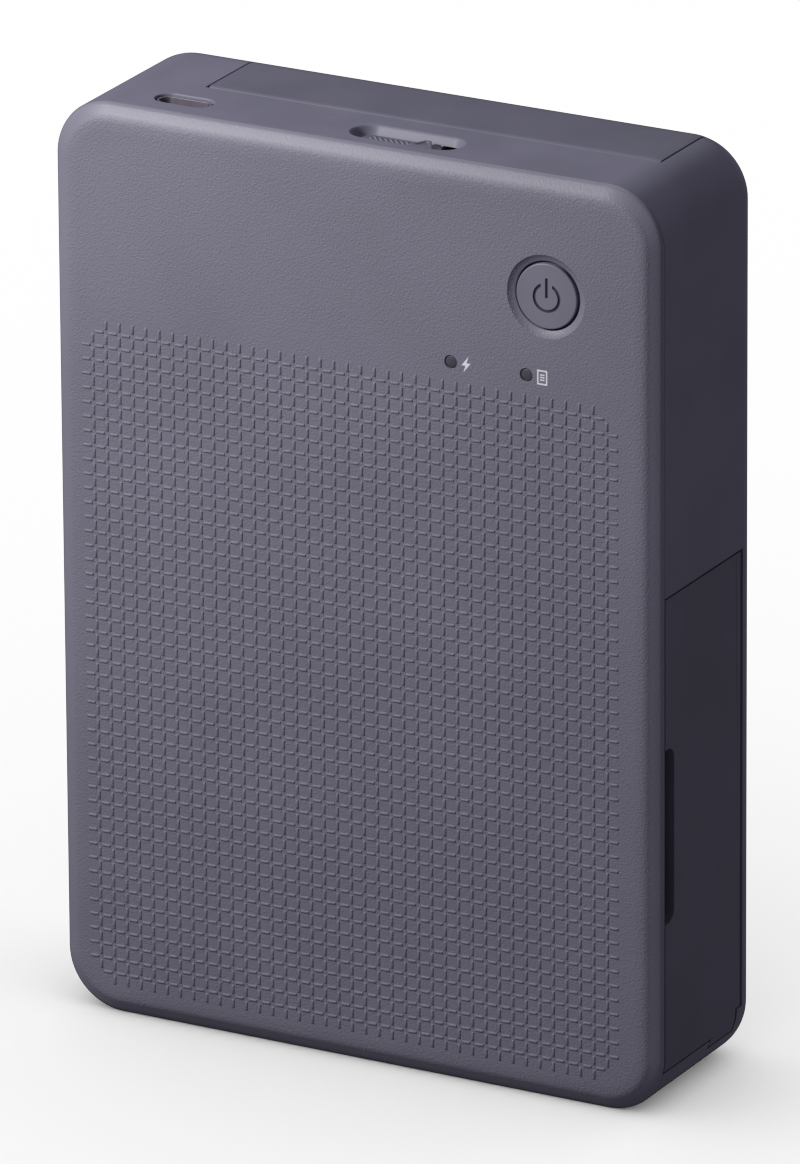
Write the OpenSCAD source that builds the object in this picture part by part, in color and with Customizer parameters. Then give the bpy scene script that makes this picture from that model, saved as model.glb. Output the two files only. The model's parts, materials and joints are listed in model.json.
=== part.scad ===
// Compact photo printer that stands on its short end: a front cover, a mid housing, a rear cover that
// opens on its bottom edge, a side flap, and the feed and print mechanism inside.
// X is the width, Y the depth (front is -Y), Z the height. All sizes are in millimetres.

/* [Body] */
// Width of the body
body_w = 102.2; // [101:0.1:106]
// Depth of the body without its rubber feet
body_d = 32.9; // [32.5:0.1:35]
// Height of the body as it stands
body_h = 145.8; // [144:0.1:150]
// Radius of the four corners seen from the front
corner_r = 9.3; // [9:0.1:9.8]
// Radius that rounds the rear edge
rear_edge_r = 5.65; // [5.3:0.05:5.9]
// Thickness of the plastic walls
wall = 1.8; // [1.6:0.05:2]
// Depth of the front cover, from its face to the parting line
cover_depth = 1.8; // [1.7:0.05:2.2]
// Width of the sloping rim of the front cover, seen from the front
rim_w = 2.8; // [2:0.1:3.5]
// Width of the rim's straight slope, before it rounds into the side
rim_slope_w = 1.8; // [1.2:0.1:1.9]
// Angle of that slope to the front face
rim_slope = 30; // [24:1:30]
// Gap at the parting line of the front cover
seam = 0.1; // [0.05:0.05:0.2]
// Gap round the rear cover and the side flap
gap = 0.3; // [0.25:0.05:0.35]

/* [Front cover] */
// Depth of the locating lip behind the front cover
lip_depth = 1.95; // [1.5:0.05:2.2]
// Thickness of the locating lip
lip_t = 1.2; // [0.8:0.1:1.5]
// Gap between the lip and the housing
lip_gap = 0.2; // [0.1:0.05:0.3]
// Power button centre, from the right side
button_side = 18.45; // [17:0.05:21]
// Power button centre, below the top
button_down = 18.4; // [17:0.1:20]
// Diameter of the button cap
button_d = 10.4; // [9:0.05:11]
// Diameter of the dish round the button
dish_d = 13; // [12:0.1:14]
// Depth of the dish
dish_depth = 0.5; // [0.4:0.1:0.9]
// Ring gap round the button cap
button_gap = 0.2; // [0.15:0.01:0.35]
// How far the button cap lies below the front face
button_sunk = 0.35; // [0.1:0.05:0.5]
// Travel of the button
button_travel = 0.45; // [0.2:0.05:0.45]
// Diameter of the two indicator lenses
lens_d = 1.9; // [1.5:0.1:2.4]
// Running gap round each lens
lens_gap = 0.05; // [0.02:0.01:0.1]
// Left indicator, from the right side
lens_side1 = 34.64; // [33:0.01:37]
// Right indicator, from the right side
lens_side2 = 22; // [20:0.1:24]
// Both indicators, below the top
lens_down = 31.15; // [30:0.05:33]

/* [Rear cover] */
// Distance of the rear cover's left edge from the left side
cover_left = 18.7; // [18.5:0.1:18.9]
// Distance of the rear cover's right edge from the right side
cover_right = 7.5; // [6.9:0.1:7.5]
// Paper plane, behind the front face
paper_back = 14.75; // [14.7:0.05:15]
// Width of the outlet slit
slit_w = 0.65; // [0.5:0.05:0.8]
// Radius of the hinge pins of the rear cover
hinge_pin_r = 1; // [0.9:0.05:1.2]
// Length of the hinge block at each end of the rear cover
hinge_block = 6; // [5:0.5:7]
// Radius of the hinge hub
hinge_hub_r = 2.4; // [2.2:0.1:2.6]
// Diameter of the rubber feet
foot_d = 8; // [6:0.5:9]
// How far the feet stand out
foot_proud = 0.4; // [0.3:0.1:0.6]
// Depth of the pockets that hold the feet
foot_pocket = 0.6; // [0.4:0.1:0.8]
// Distance of the feet from the ends of the rear cover
foot_in = 13; // [12:0.5:14]
// Distance of the feet from the sides of the rear cover
foot_side = 6.4; // [6:0.1:8]

/* [Side flap] */
// Bottom edge of the side flap
flap_z0 = 7.1; // [7.1:0.1:8]
// Top edge of the side flap
flap_z1 = 82.2; // [80:0.1:84]
// Extra reach of the flap's rear part below its bottom edge
flap_step = 1.4; // [1:0.1:1.5]
// Where that step begins, behind the parting line
flap_step_back = 15.95; // [15:0.05:17]
// Depth of the thumb notch
notch_d = 3.35; // [3:0.05:4]
// Length of the thumb notch
notch_l = 27.8; // [24:0.1:30]
// Radius of the notch's inner corners
notch_r = 2; // [1:0.1:3]
// Radius of the flap's hinge pins
flap_pin_r = 0.5; // [0.4:0.05:0.55]
// Length of the flap's hinge pins on each side of the gap
flap_pin_l = 3; // [2:0.5:4]

/* [Top] */
// Socket centre, from the left side
socket_side = 18.8; // [17.1:0.1:19.1]
// Length and width of the socket's hole in the top wall
socket_hole = [9.5, 4.3]; // [3:0.1:12]
// Outside length and width of the socket's metal shell
socket_shell = [8.94, 3.26]; // [3:0.01:10]
// Wall of the socket's shell
shell_t = 0.3; // [0.2:0.05:0.4]
// Length of the socket's shell
shell_l = 6.5; // [6:0.1:6.6]
// How far the shell lies below the top
shell_sunk = 0.5; // [0.3:0.1:1]
// Left end of the switch recess
recess_x0 = -4; // [-5:0.1:-3]
// Length and width of the switch recess at the top
recess_size = [19, 6.6]; // [5:0.1:20]
// Depth of the switch recess
recess_depth = 1.5; // [1.2:0.1:1.6]
// How much the recess narrows on each side
recess_taper = 1.05; // [0.9:0.05:1.1]
// Switch centre, behind the front face
switch_back = 7.45; // [7.4:0.05:7.6]
// Length of the slider
slider_l = 13.7; // [13:0.1:13.8]
// Gap round the slider
slider_gap = 0.15; // [0.1:0.05:0.2]
// Travel of the slider
slider_travel = 2.8; // [2.6:0.1:2.8]

/* [Board] */
// Thickness of the main board
board_t = 1.2; // [1:0.1:1.3]
// Gap between the front cover and the main board
board_gap = 2.77; // [2.7:0.01:2.8]
// Bottom edge of the main board
board_z0 = 62; // [60:1:66]
// Distance of the board's top edge from the top
board_down = 4; // [3.5:0.1:5]
// Distance of the board's upper part from the left side
board_left = 11.6; // [10.1:0.1:13.1]
// Distance of the board's lower part from the left chassis side
board_in_left = 1; // [0.8:0.1:2.8]
// Distance of the board from the right chassis side
board_in_right = 4; // [2:0.5:5]

/* [Chassis] */
// Thickness of the chassis sheets
sheet = 0.8; // [0.6:0.1:0.9]
// Side gap between the chassis sides and the rear cover's edges
side_gap = 0.4; // [0.4:0.05:0.5]
// Bottom edge of the chassis
chassis_z0 = 9.2; // [9:0.1:10]
// Distance of the chassis's top edge from the top
chassis_down = 7.2; // [7.1:0.1:8]
// Radius of the chassis screws
screw_r = 1; // [0.9:0.05:1.1]

/* [Rollers and gears] */
// Platen roller radius
platen_r = 4; // [3.8:0.1:4.1]
// Platen roller axis, below the top
platen_down = 27.8; // [27.5:0.1:28]
// Feed roller radius
feed_r = 2.5; // [2.3:0.1:2.6]
// Feed roller axis, below the top
feed_down = 14.8; // [14.6:0.1:15]
// Pinch roller radius
pinch_r = 2; // [1.8:0.1:2.1]
// Pick-up roller radius
pick_r = 4; // [3.8:0.1:4.1]
// Pick-up roller axis, below the platen's axis
pick_drop = 34; // [33.8:0.1:34.2]
// Radius of the platen and pick-up shafts
shaft_r = 1.5; // [1.2:0.1:1.6]
// Radius of the idler pins
pin_r = 1; // [0.8:0.05:1.1]
// Radial running gap of shafts and pins
run = 0.05; // [0.03:0.01:0.07]
// Gear module, the pitch diameter for each tooth
gear_m = 0.5; // [0.49:0.01:0.51]
// Gear width
gear_w = 1.6; // [1.4:0.1:1.7]

/* [Cassette] */
// Wall of the cassette
case_t = 1; // [0.8:0.1:1.1]
// Side gap round the cassette
case_gap = 0.8; // [0.7:0.05:0.9]
// Play at each side of the paper
paper_side = 0.6; // [0.5:0.1:1.6]
// Distance of the paper's top edge below the top
paper_down = 50.3; // [50.3:0.1:55]
// Thickness of the paper stack
stack_t = 3; // [1:0.1:3.5]
// Radius of the wound film on the supply spool
supply_r = 5.2; // [4.5:0.1:5.3]
// Radius of the wound film on the take-up spool
take_up_r = 4.5; // [4:0.1:4.6]
// Supply spool axis, below the top
supply_down = 47.8; // [47.5:0.1:48.5]
// Distance of the ribbon film from each side of the cassette
film_side = 1.6; // [1.1:0.1:2.6]
// Thickness of the ribbon film as drawn
film_t = 0.08; // [0.05:0.01:0.1]

/* [Print head] */
// Distance of the print head's ends from each side of the cassette
head_side = 2.4; // [2.1:0.1:3.6]
// Thickness of the thermal strip
strip_t = 0.8; // [0.6:0.1:1]
// Height of the thermal strip
strip_h = 5; // [4:0.1:5.5]
// Radius of the head's pivot pin
pivot_r = 0.8; // [0.7:0.05:0.9]

/* [Battery and motor] */
// Width of the battery pack
battery_w = 12; // [10:0.5:13]
// Distance of the battery pack behind the front face
battery_back = 6.25; // [6:0.05:8]
// Distance of the battery pack's top below the body's top
battery_down = 77.8; // [76:0.1:84]
// Radius of the motor can
motor_r = 7.5; // [7:0.1:7.6]
// Length of the motor can
motor_l = 9.4; // [8:0.1:9.6]

/* [Hidden] */
$fn = 64;
far = 500;          // longer than any cut needs to be
eps = 0.02;         // overrun of a cut past a face
lap = 1;            // overlap of a block with the rim round it

// Body faces
half_w = body_w / 2;
front_y = -(body_d + foot_proud) / 2;
rear_y = front_y + body_d;
parting_y = front_y + cover_depth;
housing_y = parting_y + seam;
round_y = rear_y - rear_edge_r;      // where the rear rounding begins
inner_rear_y = rear_y - wall;
inner_top_z = body_h - wall;
corner_x = half_w - corner_r;
button_x = half_w - button_side;
lens_x1 = half_w - lens_side1;
lens_x2 = half_w - lens_side2;
socket_x = socket_side - half_w;

// Rear cover, its bay and its hinge
cover_x0 = cover_left - half_w;
cover_x1 = half_w - cover_right;
bay_x0 = cover_x0 - gap;
bay_x1 = cover_x1 + gap;
paper_y = front_y + paper_back;
slit_y0 = paper_y - slit_w / 2;
tab_y = paper_y + slit_w / 2;
hinge_y = round_y;
hinge_z = rear_edge_r;
ear_t = 1.5;
ear_r = 3;
tab_reach_z = body_h - 3 * rear_edge_r;   // below the tab and its rounding

// Chassis sides
left_x1 = cover_x0 - side_gap;
left_x0 = left_x1 - sheet;
right_x0 = cover_x1 + side_gap;
right_x1 = right_x0 + sheet;
chassis_z1 = body_h - chassis_down;
cross_gap = 1.08;                          // gap between the board and the cross plate
board_x0 = board_left - half_w;
board_x1 = left_x1 + board_in_left;
board_x2 = right_x0 - board_in_right;
board_y0 = parting_y + board_gap;
board_y1 = board_y0 + board_t;
board_z1 = body_h - board_down;
cross_y0 = board_y1 + cross_gap;
cross_y1 = cross_y0 + sheet;
pad_l = 2.15;                              // pads between the fixing tabs and the rear wall
screw_bite = 0.7;                          // how far a chassis screw enters the rear wall
plate_y1 = inner_rear_y - pad_l;           // rear edge of the side plates
tab_depth = 5;                             // reach of a fixing tab on the left
right_tab_depth = 3.6;                     // reach of a fixing tab on the right
tab_h = 6;
tab_zs = [70, body_h - 35.8];              // bottom edges of the fixing tabs

// Gear teeth and places, as [y, z]
teeth_platen = 24;
teeth_small = 14;
teeth_big = 36;
teeth_motor = 12;
teeth_feed_idler = 16;
teeth_feed = 15;
teeth_take_up = 20;
teeth_upper = 18;
teeth_lower = 20;
teeth_pick = 24;
nip = 0.2;                                 // half of the paper's thickness and its gap
case_rear_gap = 0.35;                      // between the cassette and the rear wall
function pitch_r(n) = gear_m * n / 2;
function spread(a, b) = pitch_r(a) + pitch_r(b);
function polar(r, a) = [r * cos(a), r * sin(a)];
function heading(a, b) = atan2(b.y - a.y, b.x - a.x);
// Where a circle of radius ra round a meets one of radius rb round b, on the rear side
function meet(a, ra, b, rb) =
    let (d = norm(b - a), u = (b - a) / d, s = (d * d + ra * ra - rb * rb) / (2 * d),
         h = sqrt(max(0, ra * ra - s * s)), side = u.y > 0 ? [u.y, -u.x] : [-u.y, u.x])
    a + s * u + h * side;
platen_c = [paper_y - nip - platen_r, body_h - platen_down];
feed_c = [paper_y - nip - feed_r, body_h - feed_down];
pinch_c = [paper_y + nip + pinch_r, body_h - feed_down];
pick_c = [paper_y - nip + 0.2 - pick_r, platen_c.y - pick_drop];
reduction_c = platen_c + polar(spread(teeth_platen, teeth_small), -45);
motor_c = reduction_c - [0, spread(teeth_big, teeth_motor)];
feed_idler_c = meet(platen_c, spread(teeth_platen, teeth_feed_idler),
    feed_c, spread(teeth_feed_idler, teeth_feed));
wound_gap = 0.5;                           // round the wound film, inside the cassette
bridge_t = 0.8;
take_up_reach = spread(teeth_feed_idler, teeth_take_up);
take_up_y = inner_rear_y - case_rear_gap - bridge_t - wound_gap - take_up_r;
take_up_low = 32.3;                        // lowest direction that clears the print head
take_up_c = feed_idler_c + polar(take_up_reach,
    max(take_up_low, acos(min(1, (take_up_y - feed_idler_c.x) / take_up_reach))));
upper_c = reduction_c
    + polar(spread(teeth_small, teeth_upper), heading(reduction_c, pick_c));
lower_c = meet(upper_c, spread(teeth_upper, teeth_lower), pick_c, spread(teeth_lower, teeth_pick));

// Tooth phases that put each pair in mesh
function mesh_phase(a, phase_a, n_a, n_b) = a + 180 + ((a - phase_a) * n_a / 360 - 0.5) * 360 / n_b;
phase_small = mesh_phase(heading(platen_c, reduction_c), 0, teeth_platen, teeth_small);
phase_motor = mesh_phase(heading(reduction_c, motor_c), 0, teeth_big, teeth_motor);
phase_feed_idler = mesh_phase(heading(platen_c, feed_idler_c), 0, teeth_platen, teeth_feed_idler);
phase_feed = mesh_phase(heading(feed_idler_c, feed_c), phase_feed_idler, teeth_feed_idler, teeth_feed);
phase_take_up = mesh_phase(heading(feed_idler_c, take_up_c), phase_feed_idler, teeth_feed_idler,
    teeth_take_up);
phase_upper = mesh_phase(heading(reduction_c, upper_c), phase_small, teeth_small, teeth_upper);
phase_lower = mesh_phase(heading(upper_c, lower_c), phase_upper, teeth_upper, teeth_lower);
phase_pick = mesh_phase(heading(lower_c, pick_c), phase_lower, teeth_lower, teeth_pick);

// Gear layers, counted outwards from the left plate
layer_gap = 0.6;
layer_a1 = left_x0 - layer_gap;
layer_a0 = layer_a1 - gear_w;
layer_b1 = layer_a0 - 0.3;
layer_b0 = layer_b1 - gear_w;
hub_x = left_x0 - 0.1;                     // inner end of the gear hubs
bracket_x1 = layer_b0 - 0.4;
bracket_x0 = bracket_x1 - sheet;

// Cassette
case_x0 = left_x1 + case_gap;
case_x1 = right_x0 - case_gap;
case_y0 = paper_y - 1.2;
case_y1 = inner_rear_y - case_rear_gap;
case_z0 = chassis_z0;
case_z1 = chassis_z1 - 0.6;
case_mid = (case_x0 + case_x1) / 2;
case_room = case_x1 - case_x0 - 2 * case_t;
paper_w = case_room - 2 * paper_side;
film_w = case_room - 2 * film_side;
head_w = case_room - 2 * head_side;
stack_y0 = case_y0 + case_t + 0.3;
stack_z0 = case_z0 + case_t + 0.3;
front_wall_z1 = body_h - 39.8;
rear_wall_z1 = front_wall_z1 - 1.5;
paper_l = body_h - paper_down - stack_z0;
bridge_z0 = body_h - 18.8;
supply_gap = 0.2;
supply_c = [case_y1 - case_t - supply_gap - supply_r, body_h - supply_down];
rod_r = 0.8;
rod_low = [paper_y + 2.3, body_h - 39.2];
rod_high = [paper_y + 2.9, body_h - 19.8];
journal_r = 1.5;

// Print head
strip_y0 = paper_y + 0.35;
sink_y0 = strip_y0 + strip_t;
head_x0 = case_mid - head_w / 2;
head_top = body_h - 21.5;
head_base = body_h - 37;
head_back = inner_rear_y - 4.45;
pivot_c = [inner_rear_y - 3.15, body_h - 34.8];
bracket_y1 = inner_rear_y;
bracket_y0 = bracket_y1 - sheet;
ear_gap = 0.4;

// Latch and switch
switch_y = front_y + switch_back;
slider_w = recess_size.y - 2 * recess_taper - 2 * slider_gap;
slot_x0 = recess_x0 + recess_taper;
slot_l = recess_size.x - 2 * recess_taper;
slider_x0 = slot_x0 + slider_gap;
bar_z1 = inner_top_z - 1.4;
bar_z0 = bar_z1 - 1.5;
bar_y1 = paper_y - 3.5;
bar_y0 = bar_y1 - 1.8;
arm_w = 1.6;
boss_y0 = bar_y1 + 0.3;
boss_y1 = boss_y0 + 1.3;
finger_y1 = boss_y1 + 1.4;
finger_z0 = bar_z0 - 1.9;
arm_z1 = inner_top_z - 1;
arm_z0 = arm_z1 - 1;
boss_z0 = arm_z0 - 1.4;
finger_over = 0.1;                         // finger wider than the arm on each side
lug_x = 14;
seat_x = 23;
guide_x = -20;
guide_y0 = bar_y1 + 0.2;
spring_r = 1;
spring_z = bar_z0 - 1.35;

// Side flap
flap_x0 = half_w - wall;
flap_pin = [half_w - wall / 2, round_y - wall / 2];
knuckle_y = flap_pin.y - wall / 2;
knuckle_z0 = corner_r + 0.1;
tail_y = knuckle_y - gap;               // rear edge of the flap below its knuckle, clear as it swings
flap_step_y = parting_y + flap_step_back;
lug_reach = 0.3;

// Outline of the body seen from the front, shrunk by i
module outline(i) {
    for (x = [-corner_x, corner_x], z = [corner_r, body_h - corner_r])
        translate([x, z]) circle(corner_r - i);
    translate([-corner_x, i]) square([2 * corner_x, body_h - 2 * i]);
    translate([-half_w + i, corner_r]) square([body_w - 2 * i, body_h - 2 * corner_r]);
}

// Places its children's 2D rim profile, radius outwards and Y as depth, all round the body
module round_rim() {
    for (sx = [0, 1], sz = [0, 1])
        translate([0, 0, body_h / 2]) mirror([sx, 0, 0]) mirror([0, 0, sz])
            translate([corner_x, 0, corner_r - body_h / 2])
                rotate([-90, 0, 0]) rotate_extrude(angle = 90) children();
    for (sx = [0, 1])
        mirror([sx, 0, 0]) translate([corner_x, 0, corner_r])
            linear_extrude(body_h - 2 * corner_r) children();
    for (sz = [0, 1])
        translate([0, 0, body_h / 2]) mirror([0, 0, sz])
            translate([-corner_x, 0, corner_r - body_h / 2])
                rotate([0, 90, 0]) linear_extrude(2 * corner_x) children();
}

// Solid body with its rear edge rounded, shrunk by i, from depth y0 to the rear
module body_solid(i, y0) {
    core_r = corner_r - rear_edge_r;
    round_rim() {
        translate([0, y0]) square([corner_r - i, round_y - y0]);
        translate([0, round_y]) square([core_r, rear_edge_r - i]);
        intersection() {
            translate([core_r, round_y]) circle(rear_edge_r - i);
            translate([core_r, round_y]) square(rear_edge_r);
        }
    }
    box([-corner_x - lap, corner_x + lap], [y0, rear_y - i], [corner_r - lap, body_h - corner_r + lap]);
}

module body_shell() {
    difference() {
        body_solid(0, housing_y);
        body_solid(wall, housing_y - 1);
    }
}

module box(x, y, z) {
    translate([x[0], y[0], z[0]]) cube([x[1] - x[0], y[1] - y[0], z[1] - z[0]]);
}

// Cylinder along X between two x values, at c = [y, z]
module bar(r, x, c) {
    translate([x[0], c.x, c.y]) rotate([0, 90, 0]) cylinder(r = r, h = x[1] - x[0]);
}

// Cylinder along Y between two y values, at c = [x, z]
module post(r, y, c) {
    translate([c.x, y[1], c.y]) rotate([90, 0, 0]) cylinder(r = r, h = y[1] - y[0]);
}

// Prism along X of a profile drawn as [y, z]
module prism(x) {
    translate([x[0], 0, 0]) rotate([90, 0, 90]) linear_extrude(x[1] - x[0]) children();
}

// Stadium of size [length, width] centred at the origin
module stadium(size) {
    r = size.y / 2;
    translate([-size.x / 2 + r, -r]) square([size.x - size.y, size.y]);
    for (s = [-1, 1]) translate([s * (size.x / 2 - r), 0]) circle(r);
}

// Coil spring along +Z from 0, with rings of six points
module coil_spring(mean_r, wire_r, length, turns) {
    steps = 10;
    sides = 6;
    n = turns * steps;
    points = [for (i = [0 : n], j = [0 : sides - 1])
        let (a = 360 * i / steps, b = 360 * j / sides, r = mean_r + wire_r * cos(b),
             z = wire_r + (length - 2 * wire_r) * i / n)
        [r * cos(a), r * sin(a), z + wire_r * sin(b)]];
    walls = [for (i = [0 : n - 1], j = [0 : sides - 1])
        let (k = (j + 1) % sides)
        [i * sides + j, i * sides + k, (i + 1) * sides + k, (i + 1) * sides + j]];
    triangles = [for (w = walls, t = [[w[0], w[1], w[2]], [w[0], w[2], w[3]]]) t];
    first = [for (j = [sides - 1 : -1 : 0]) j];
    last = [for (j = [0 : sides - 1]) n * sides + j];
    polyhedron(points, concat(triangles, [first, last]));
}

// Gear profile with straight-sided teeth, one tooth pointing at the angle phase
module gear_profile(n, phase) {
    r = pitch_r(n);
    pressure = tan(20);
    half = gear_m * PI / 4 - gear_m * 0.15;
    up = 0.8 * gear_m;
    down = 1.2 * gear_m;
    points = [for (i = [0 : n - 1], p = [[r - down, half + down * pressure, -1],
            [r + up, half - up * pressure, -1], [r + up, half - up * pressure, 1],
            [r - down, half + down * pressure, 1]])
        polar(p[0], phase + 360 * i / n + p[2] * p[1] / p[0] * 180 / PI)];
    polygon(points);
}

// Gear between two x values at c = [y, z], bored to bore_r
module gear(n, phase, x, c, bore_r) {
    difference() {
        translate([0, c.x, c.y]) prism(x) gear_profile(n, phase);
        bar(bore_r, [x[0] - 1, x[1] + 1], c);
    }
}

// Gear in layer A with a hub that reaches the left plate
module hub_gear(n, phase, c, bore_r) {
    gear(n, phase, [layer_a0, layer_a1], c, bore_r);
    difference() {
        bar(bore_r + 0.9, [layer_a1, hub_x], c);
        bar(bore_r, [layer_a1 - 1, hub_x + 1], c);
    }
}

// Screw whose shank starts at the origin and runs to +Z, head below
module screw(r, length, head_r, head_h) {
    translate([0, 0, -head_h]) difference() {
        cylinder(r = head_r, h = head_h);
        translate([0, 0, -eps]) for (a = [0, 90]) rotate(a)
            translate([-head_r * 0.6, -r * 0.2, 0]) cube([head_r * 1.2, r * 0.4, head_h * 0.6]);
    }
    cylinder(r = r, h = length);
}

// Front cover: face, rounded rim and the lip behind it
button_c = [button_x, body_h - button_down];
lens_cs = [[lens_x1, body_h - lens_down], [lens_x2, body_h - lens_down]];
button_hole_r = button_d / 2 + button_gap;
flange_r = button_hole_r + 0.9;
rim_land = 0.1;
module rim_profile() {
    // The slope, then a curve that leaves along it and arrives along the side
    core = corner_r - rim_w;
    slope_end = [core + rim_slope_w, front_y + rim_slope_w * tan(rim_slope)];
    corner = [corner_r, front_y + rim_w * tan(rim_slope)];
    foot = [corner_r, parting_y - rim_land];
    curve = [for (t = [0 : 0.125 : 1])
        (1 - t) * (1 - t) * foot + 2 * t * (1 - t) * corner + t * t * slope_end];
    polygon(concat([[0, parting_y], [corner_r, parting_y]], curve, [[core, front_y], [0, front_y]]));
}
module front_plate() {
    round_rim() rim_profile();
    box([-corner_x - lap, corner_x + lap], [front_y, parting_y], [corner_r - lap, body_h - corner_r + lap]);
}
module front_lip() {
    difference() {
        translate([0, parting_y + lip_depth, 0]) rotate([90, 0, 0])
            linear_extrude(lip_depth) outline(wall + lip_gap);
        translate([0, parting_y + lip_depth + 1, 0]) rotate([90, 0, 0])
            linear_extrude(lip_depth + 2) outline(wall + lip_gap + lip_t);
    }
}
module front_cover() {
    color("#5b5a68") {
        difference() {
            front_plate();
            post(button_hole_r, [front_y - 1, parting_y + 1], button_c);
            translate([button_c.x, front_y - eps, button_c.y]) rotate([-90, 0, 0])
                cylinder(r1 = dish_d / 2, r2 = button_hole_r, h = dish_depth);
            for (c = lens_cs) post(lens_d / 2 + lens_gap, [front_y - 1, parting_y + 1], c);
        }
        front_lip();
        difference() {
            post(flange_r + 1.2, [parting_y, parting_y + 1.2], button_c);
            post(flange_r + 0.2, [parting_y - 1, parting_y + 2], button_c);
        }
    }
}

// Mid housing: the band between the covers, with the rear strips and the hinge ears
module switch_recess() {
    r_top = recess_size.y / 2;
    r_slot = r_top - recess_taper;
    z0 = body_h - recess_depth;
    x0 = recess_x0 + r_top;
    x1 = recess_x0 + recess_size.x - r_top;
    for (x = [x0, x1]) translate([x, switch_y, 0]) {
        translate([0, 0, z0]) cylinder(r1 = r_slot, r2 = r_top, h = recess_depth + eps);
        translate([0, 0, z0 - 3]) cylinder(r = r_slot, h = 3 + eps);
    }
    translate([0, switch_y, 0]) prism([x0, x1])
        polygon([[-r_slot, z0 - 3], [r_slot, z0 - 3], [r_slot, z0], [r_top, body_h + eps],
            [-r_top, body_h + eps], [-r_slot, z0]]);
}
module flap_region(g) {
    // The flap's own outline seen from the side, grown by g; y and z only
    box([corner_x, half_w + 1], [housing_y - 1, knuckle_y + g],
        [flap_z0 - g, flap_z1 + g]);
    box([corner_x, half_w + 1], [flap_step_y - g, knuckle_y + g],
        [flap_z0 - flap_step - g, flap_z1 + g]);
    box([corner_x, half_w + 1], [knuckle_y - 1, round_y + g],
        [knuckle_z0 - g, flap_z1 + g]);
}
module latch_guide(x, z0, shelf_z1) {
    // Hook that hangs from the top wall and holds the latch bar up
    box([x, x + 1.6], [guide_y0, guide_y0 + 1.2], [z0, inner_top_z + 0.5]);
    box([x, x + 1.6], [bar_y0, guide_y0 + 0.1], [z0, shelf_z1]);
}
module hinge_ear(x) {
    difference() {
        union() {
            bar(ear_r, [x, x + ear_t], [hinge_y, hinge_z]);
            box([x, x + ear_t], [hinge_y - ear_r, hinge_y + ear_r], [1, hinge_z]);
        }
        bar(hinge_pin_r + 0.02, [x - 1, x + ear_t + 1], [hinge_y, hinge_z]);
    }
}
function screw_xs(side) = side < 0 ? left_x0 - tab_depth + 2.4 : right_x1 + 1.8;
module mid_housing() {
    color("#4a4a57") {
        difference() {
            union() {
                body_shell();
                box([recess_x0 - 2, recess_x0 + recess_size.x + 2],
                    [switch_y - 3.5, switch_y + 3.5], [inner_top_z - 1, inner_top_z + 0.5]);
            }
            box([bay_x0, bay_x1], [slit_y0, far], [tab_reach_z, far]);
            box([bay_x0, bay_x1], [round_y, far], [-far, far]);
            bar(rear_edge_r + gap, [bay_x0, bay_x1], [hinge_y, hinge_z]);
            translate([socket_x, usb_y, inner_top_z - 1]) linear_extrude(far) stadium(socket_hole);
            switch_recess();
            flap_region(gap);
            translate([flap_pin.x, flap_pin.y, flap_z1]) cylinder(r = flap_pin_r + 0.02, h = flap_pin_l + gap);
            translate([flap_pin.x, flap_pin.y, flap_z0]) cylinder(r = flap_pin_r + 0.02, h = 5);
            for (s = [-1, 1], z = tab_zs)
                post(screw_r + 0.02, [plate_y1, inner_rear_y + screw_bite + 0.3], [screw_xs(s), z + tab_h / 2]);
        }
        for (s = [-1, 1], z = tab_zs) difference() {
            post(2.2, [plate_y1, inner_rear_y + 0.1], [screw_xs(s), z + tab_h / 2]);
            post(screw_r + 0.02, [plate_y1 - 1, inner_rear_y + screw_bite + 0.3], [screw_xs(s), z + tab_h / 2]);
        }
        hinge_ear(bay_x0 - ear_t);
        hinge_ear(bay_x1);
        latch_guide(guide_x, bar_z0 - 1.4, bar_z0 - 0.2);
        latch_guide(seat_x, finger_z0 - 0.8, bar_z0 - 0.2);
        box([battery_x0 + 2.7, battery_x0 + battery.x - 0.8], [-8, 8], [wall / 2, battery_z0 - 0.3]);
    }
}

// Chassis: two side plates, the cross plate between them and the gear bracket
module fixing_tab(x, z) {
    box(x, [plate_y1 - sheet, plate_y1], [z, z + tab_h]);
}
bush_r = shaft_r + 1;
bush_flange = 0.5;
bush_cs = [platen_c, pick_c, feed_c];
pinch_journal_r = 1;
module plate_bores(x) {
    span = [x - 2, x + 2];
    for (c = bush_cs) bar(bush_r + 0.02, span, c);
    bar(pinch_journal_r + run, span, pinch_c);
}
module left_plate() {
    color("silver") {
        difference() {
            box([left_x0, left_x1], [cross_y0, plate_y1], [chassis_z0, chassis_z1]);
            plate_bores(left_x0);
            for (c = [reduction_c, feed_idler_c, upper_c, lower_c])
                bar(pin_r + 0.02, [left_x0 - 1, left_x1 + 1], c);
            bar(stub_r + run, [left_x0 - 1, left_x1 + 1], take_up_c);
        }
        for (z = tab_zs) difference() {
            fixing_tab([left_x0 - tab_depth, left_x0], z);
            post(screw_r + 0.1, [plate_y1 - 2, plate_y1 + 1], [screw_xs(-1), z + tab_h / 2]);
        }
    }
}
window_y = [cross_y1 + 2, plate_y1 - 5];
window_z = [16, 66];
module right_plate() {
    color("silver") {
        difference() {
            box([right_x0, right_x1], [cross_y0, plate_y1], [chassis_z0, chassis_z1]);
            plate_bores(right_x0);
            box([right_x0 - 1, right_x1 + 1], window_y, window_z);
        }
        for (z = tab_zs) difference() {
            fixing_tab([right_x1, right_x1 + right_tab_depth], z);
            post(screw_r + 0.1, [plate_y1 - 2, plate_y1 + 1], [screw_xs(1), z + tab_h / 2]);
        }
    }
}
board_screw_r = 0.75;
board_screw_cs = [for (x = [board_x1 + 3.8, board_x2 - 4], z = [board_z0 + 6, body_h - 41.8]) [x, z]];
tyre_w = 5;
tyre_xs = [case_mid - 1.6 - tyre_w, case_mid + 1.4];
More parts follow.
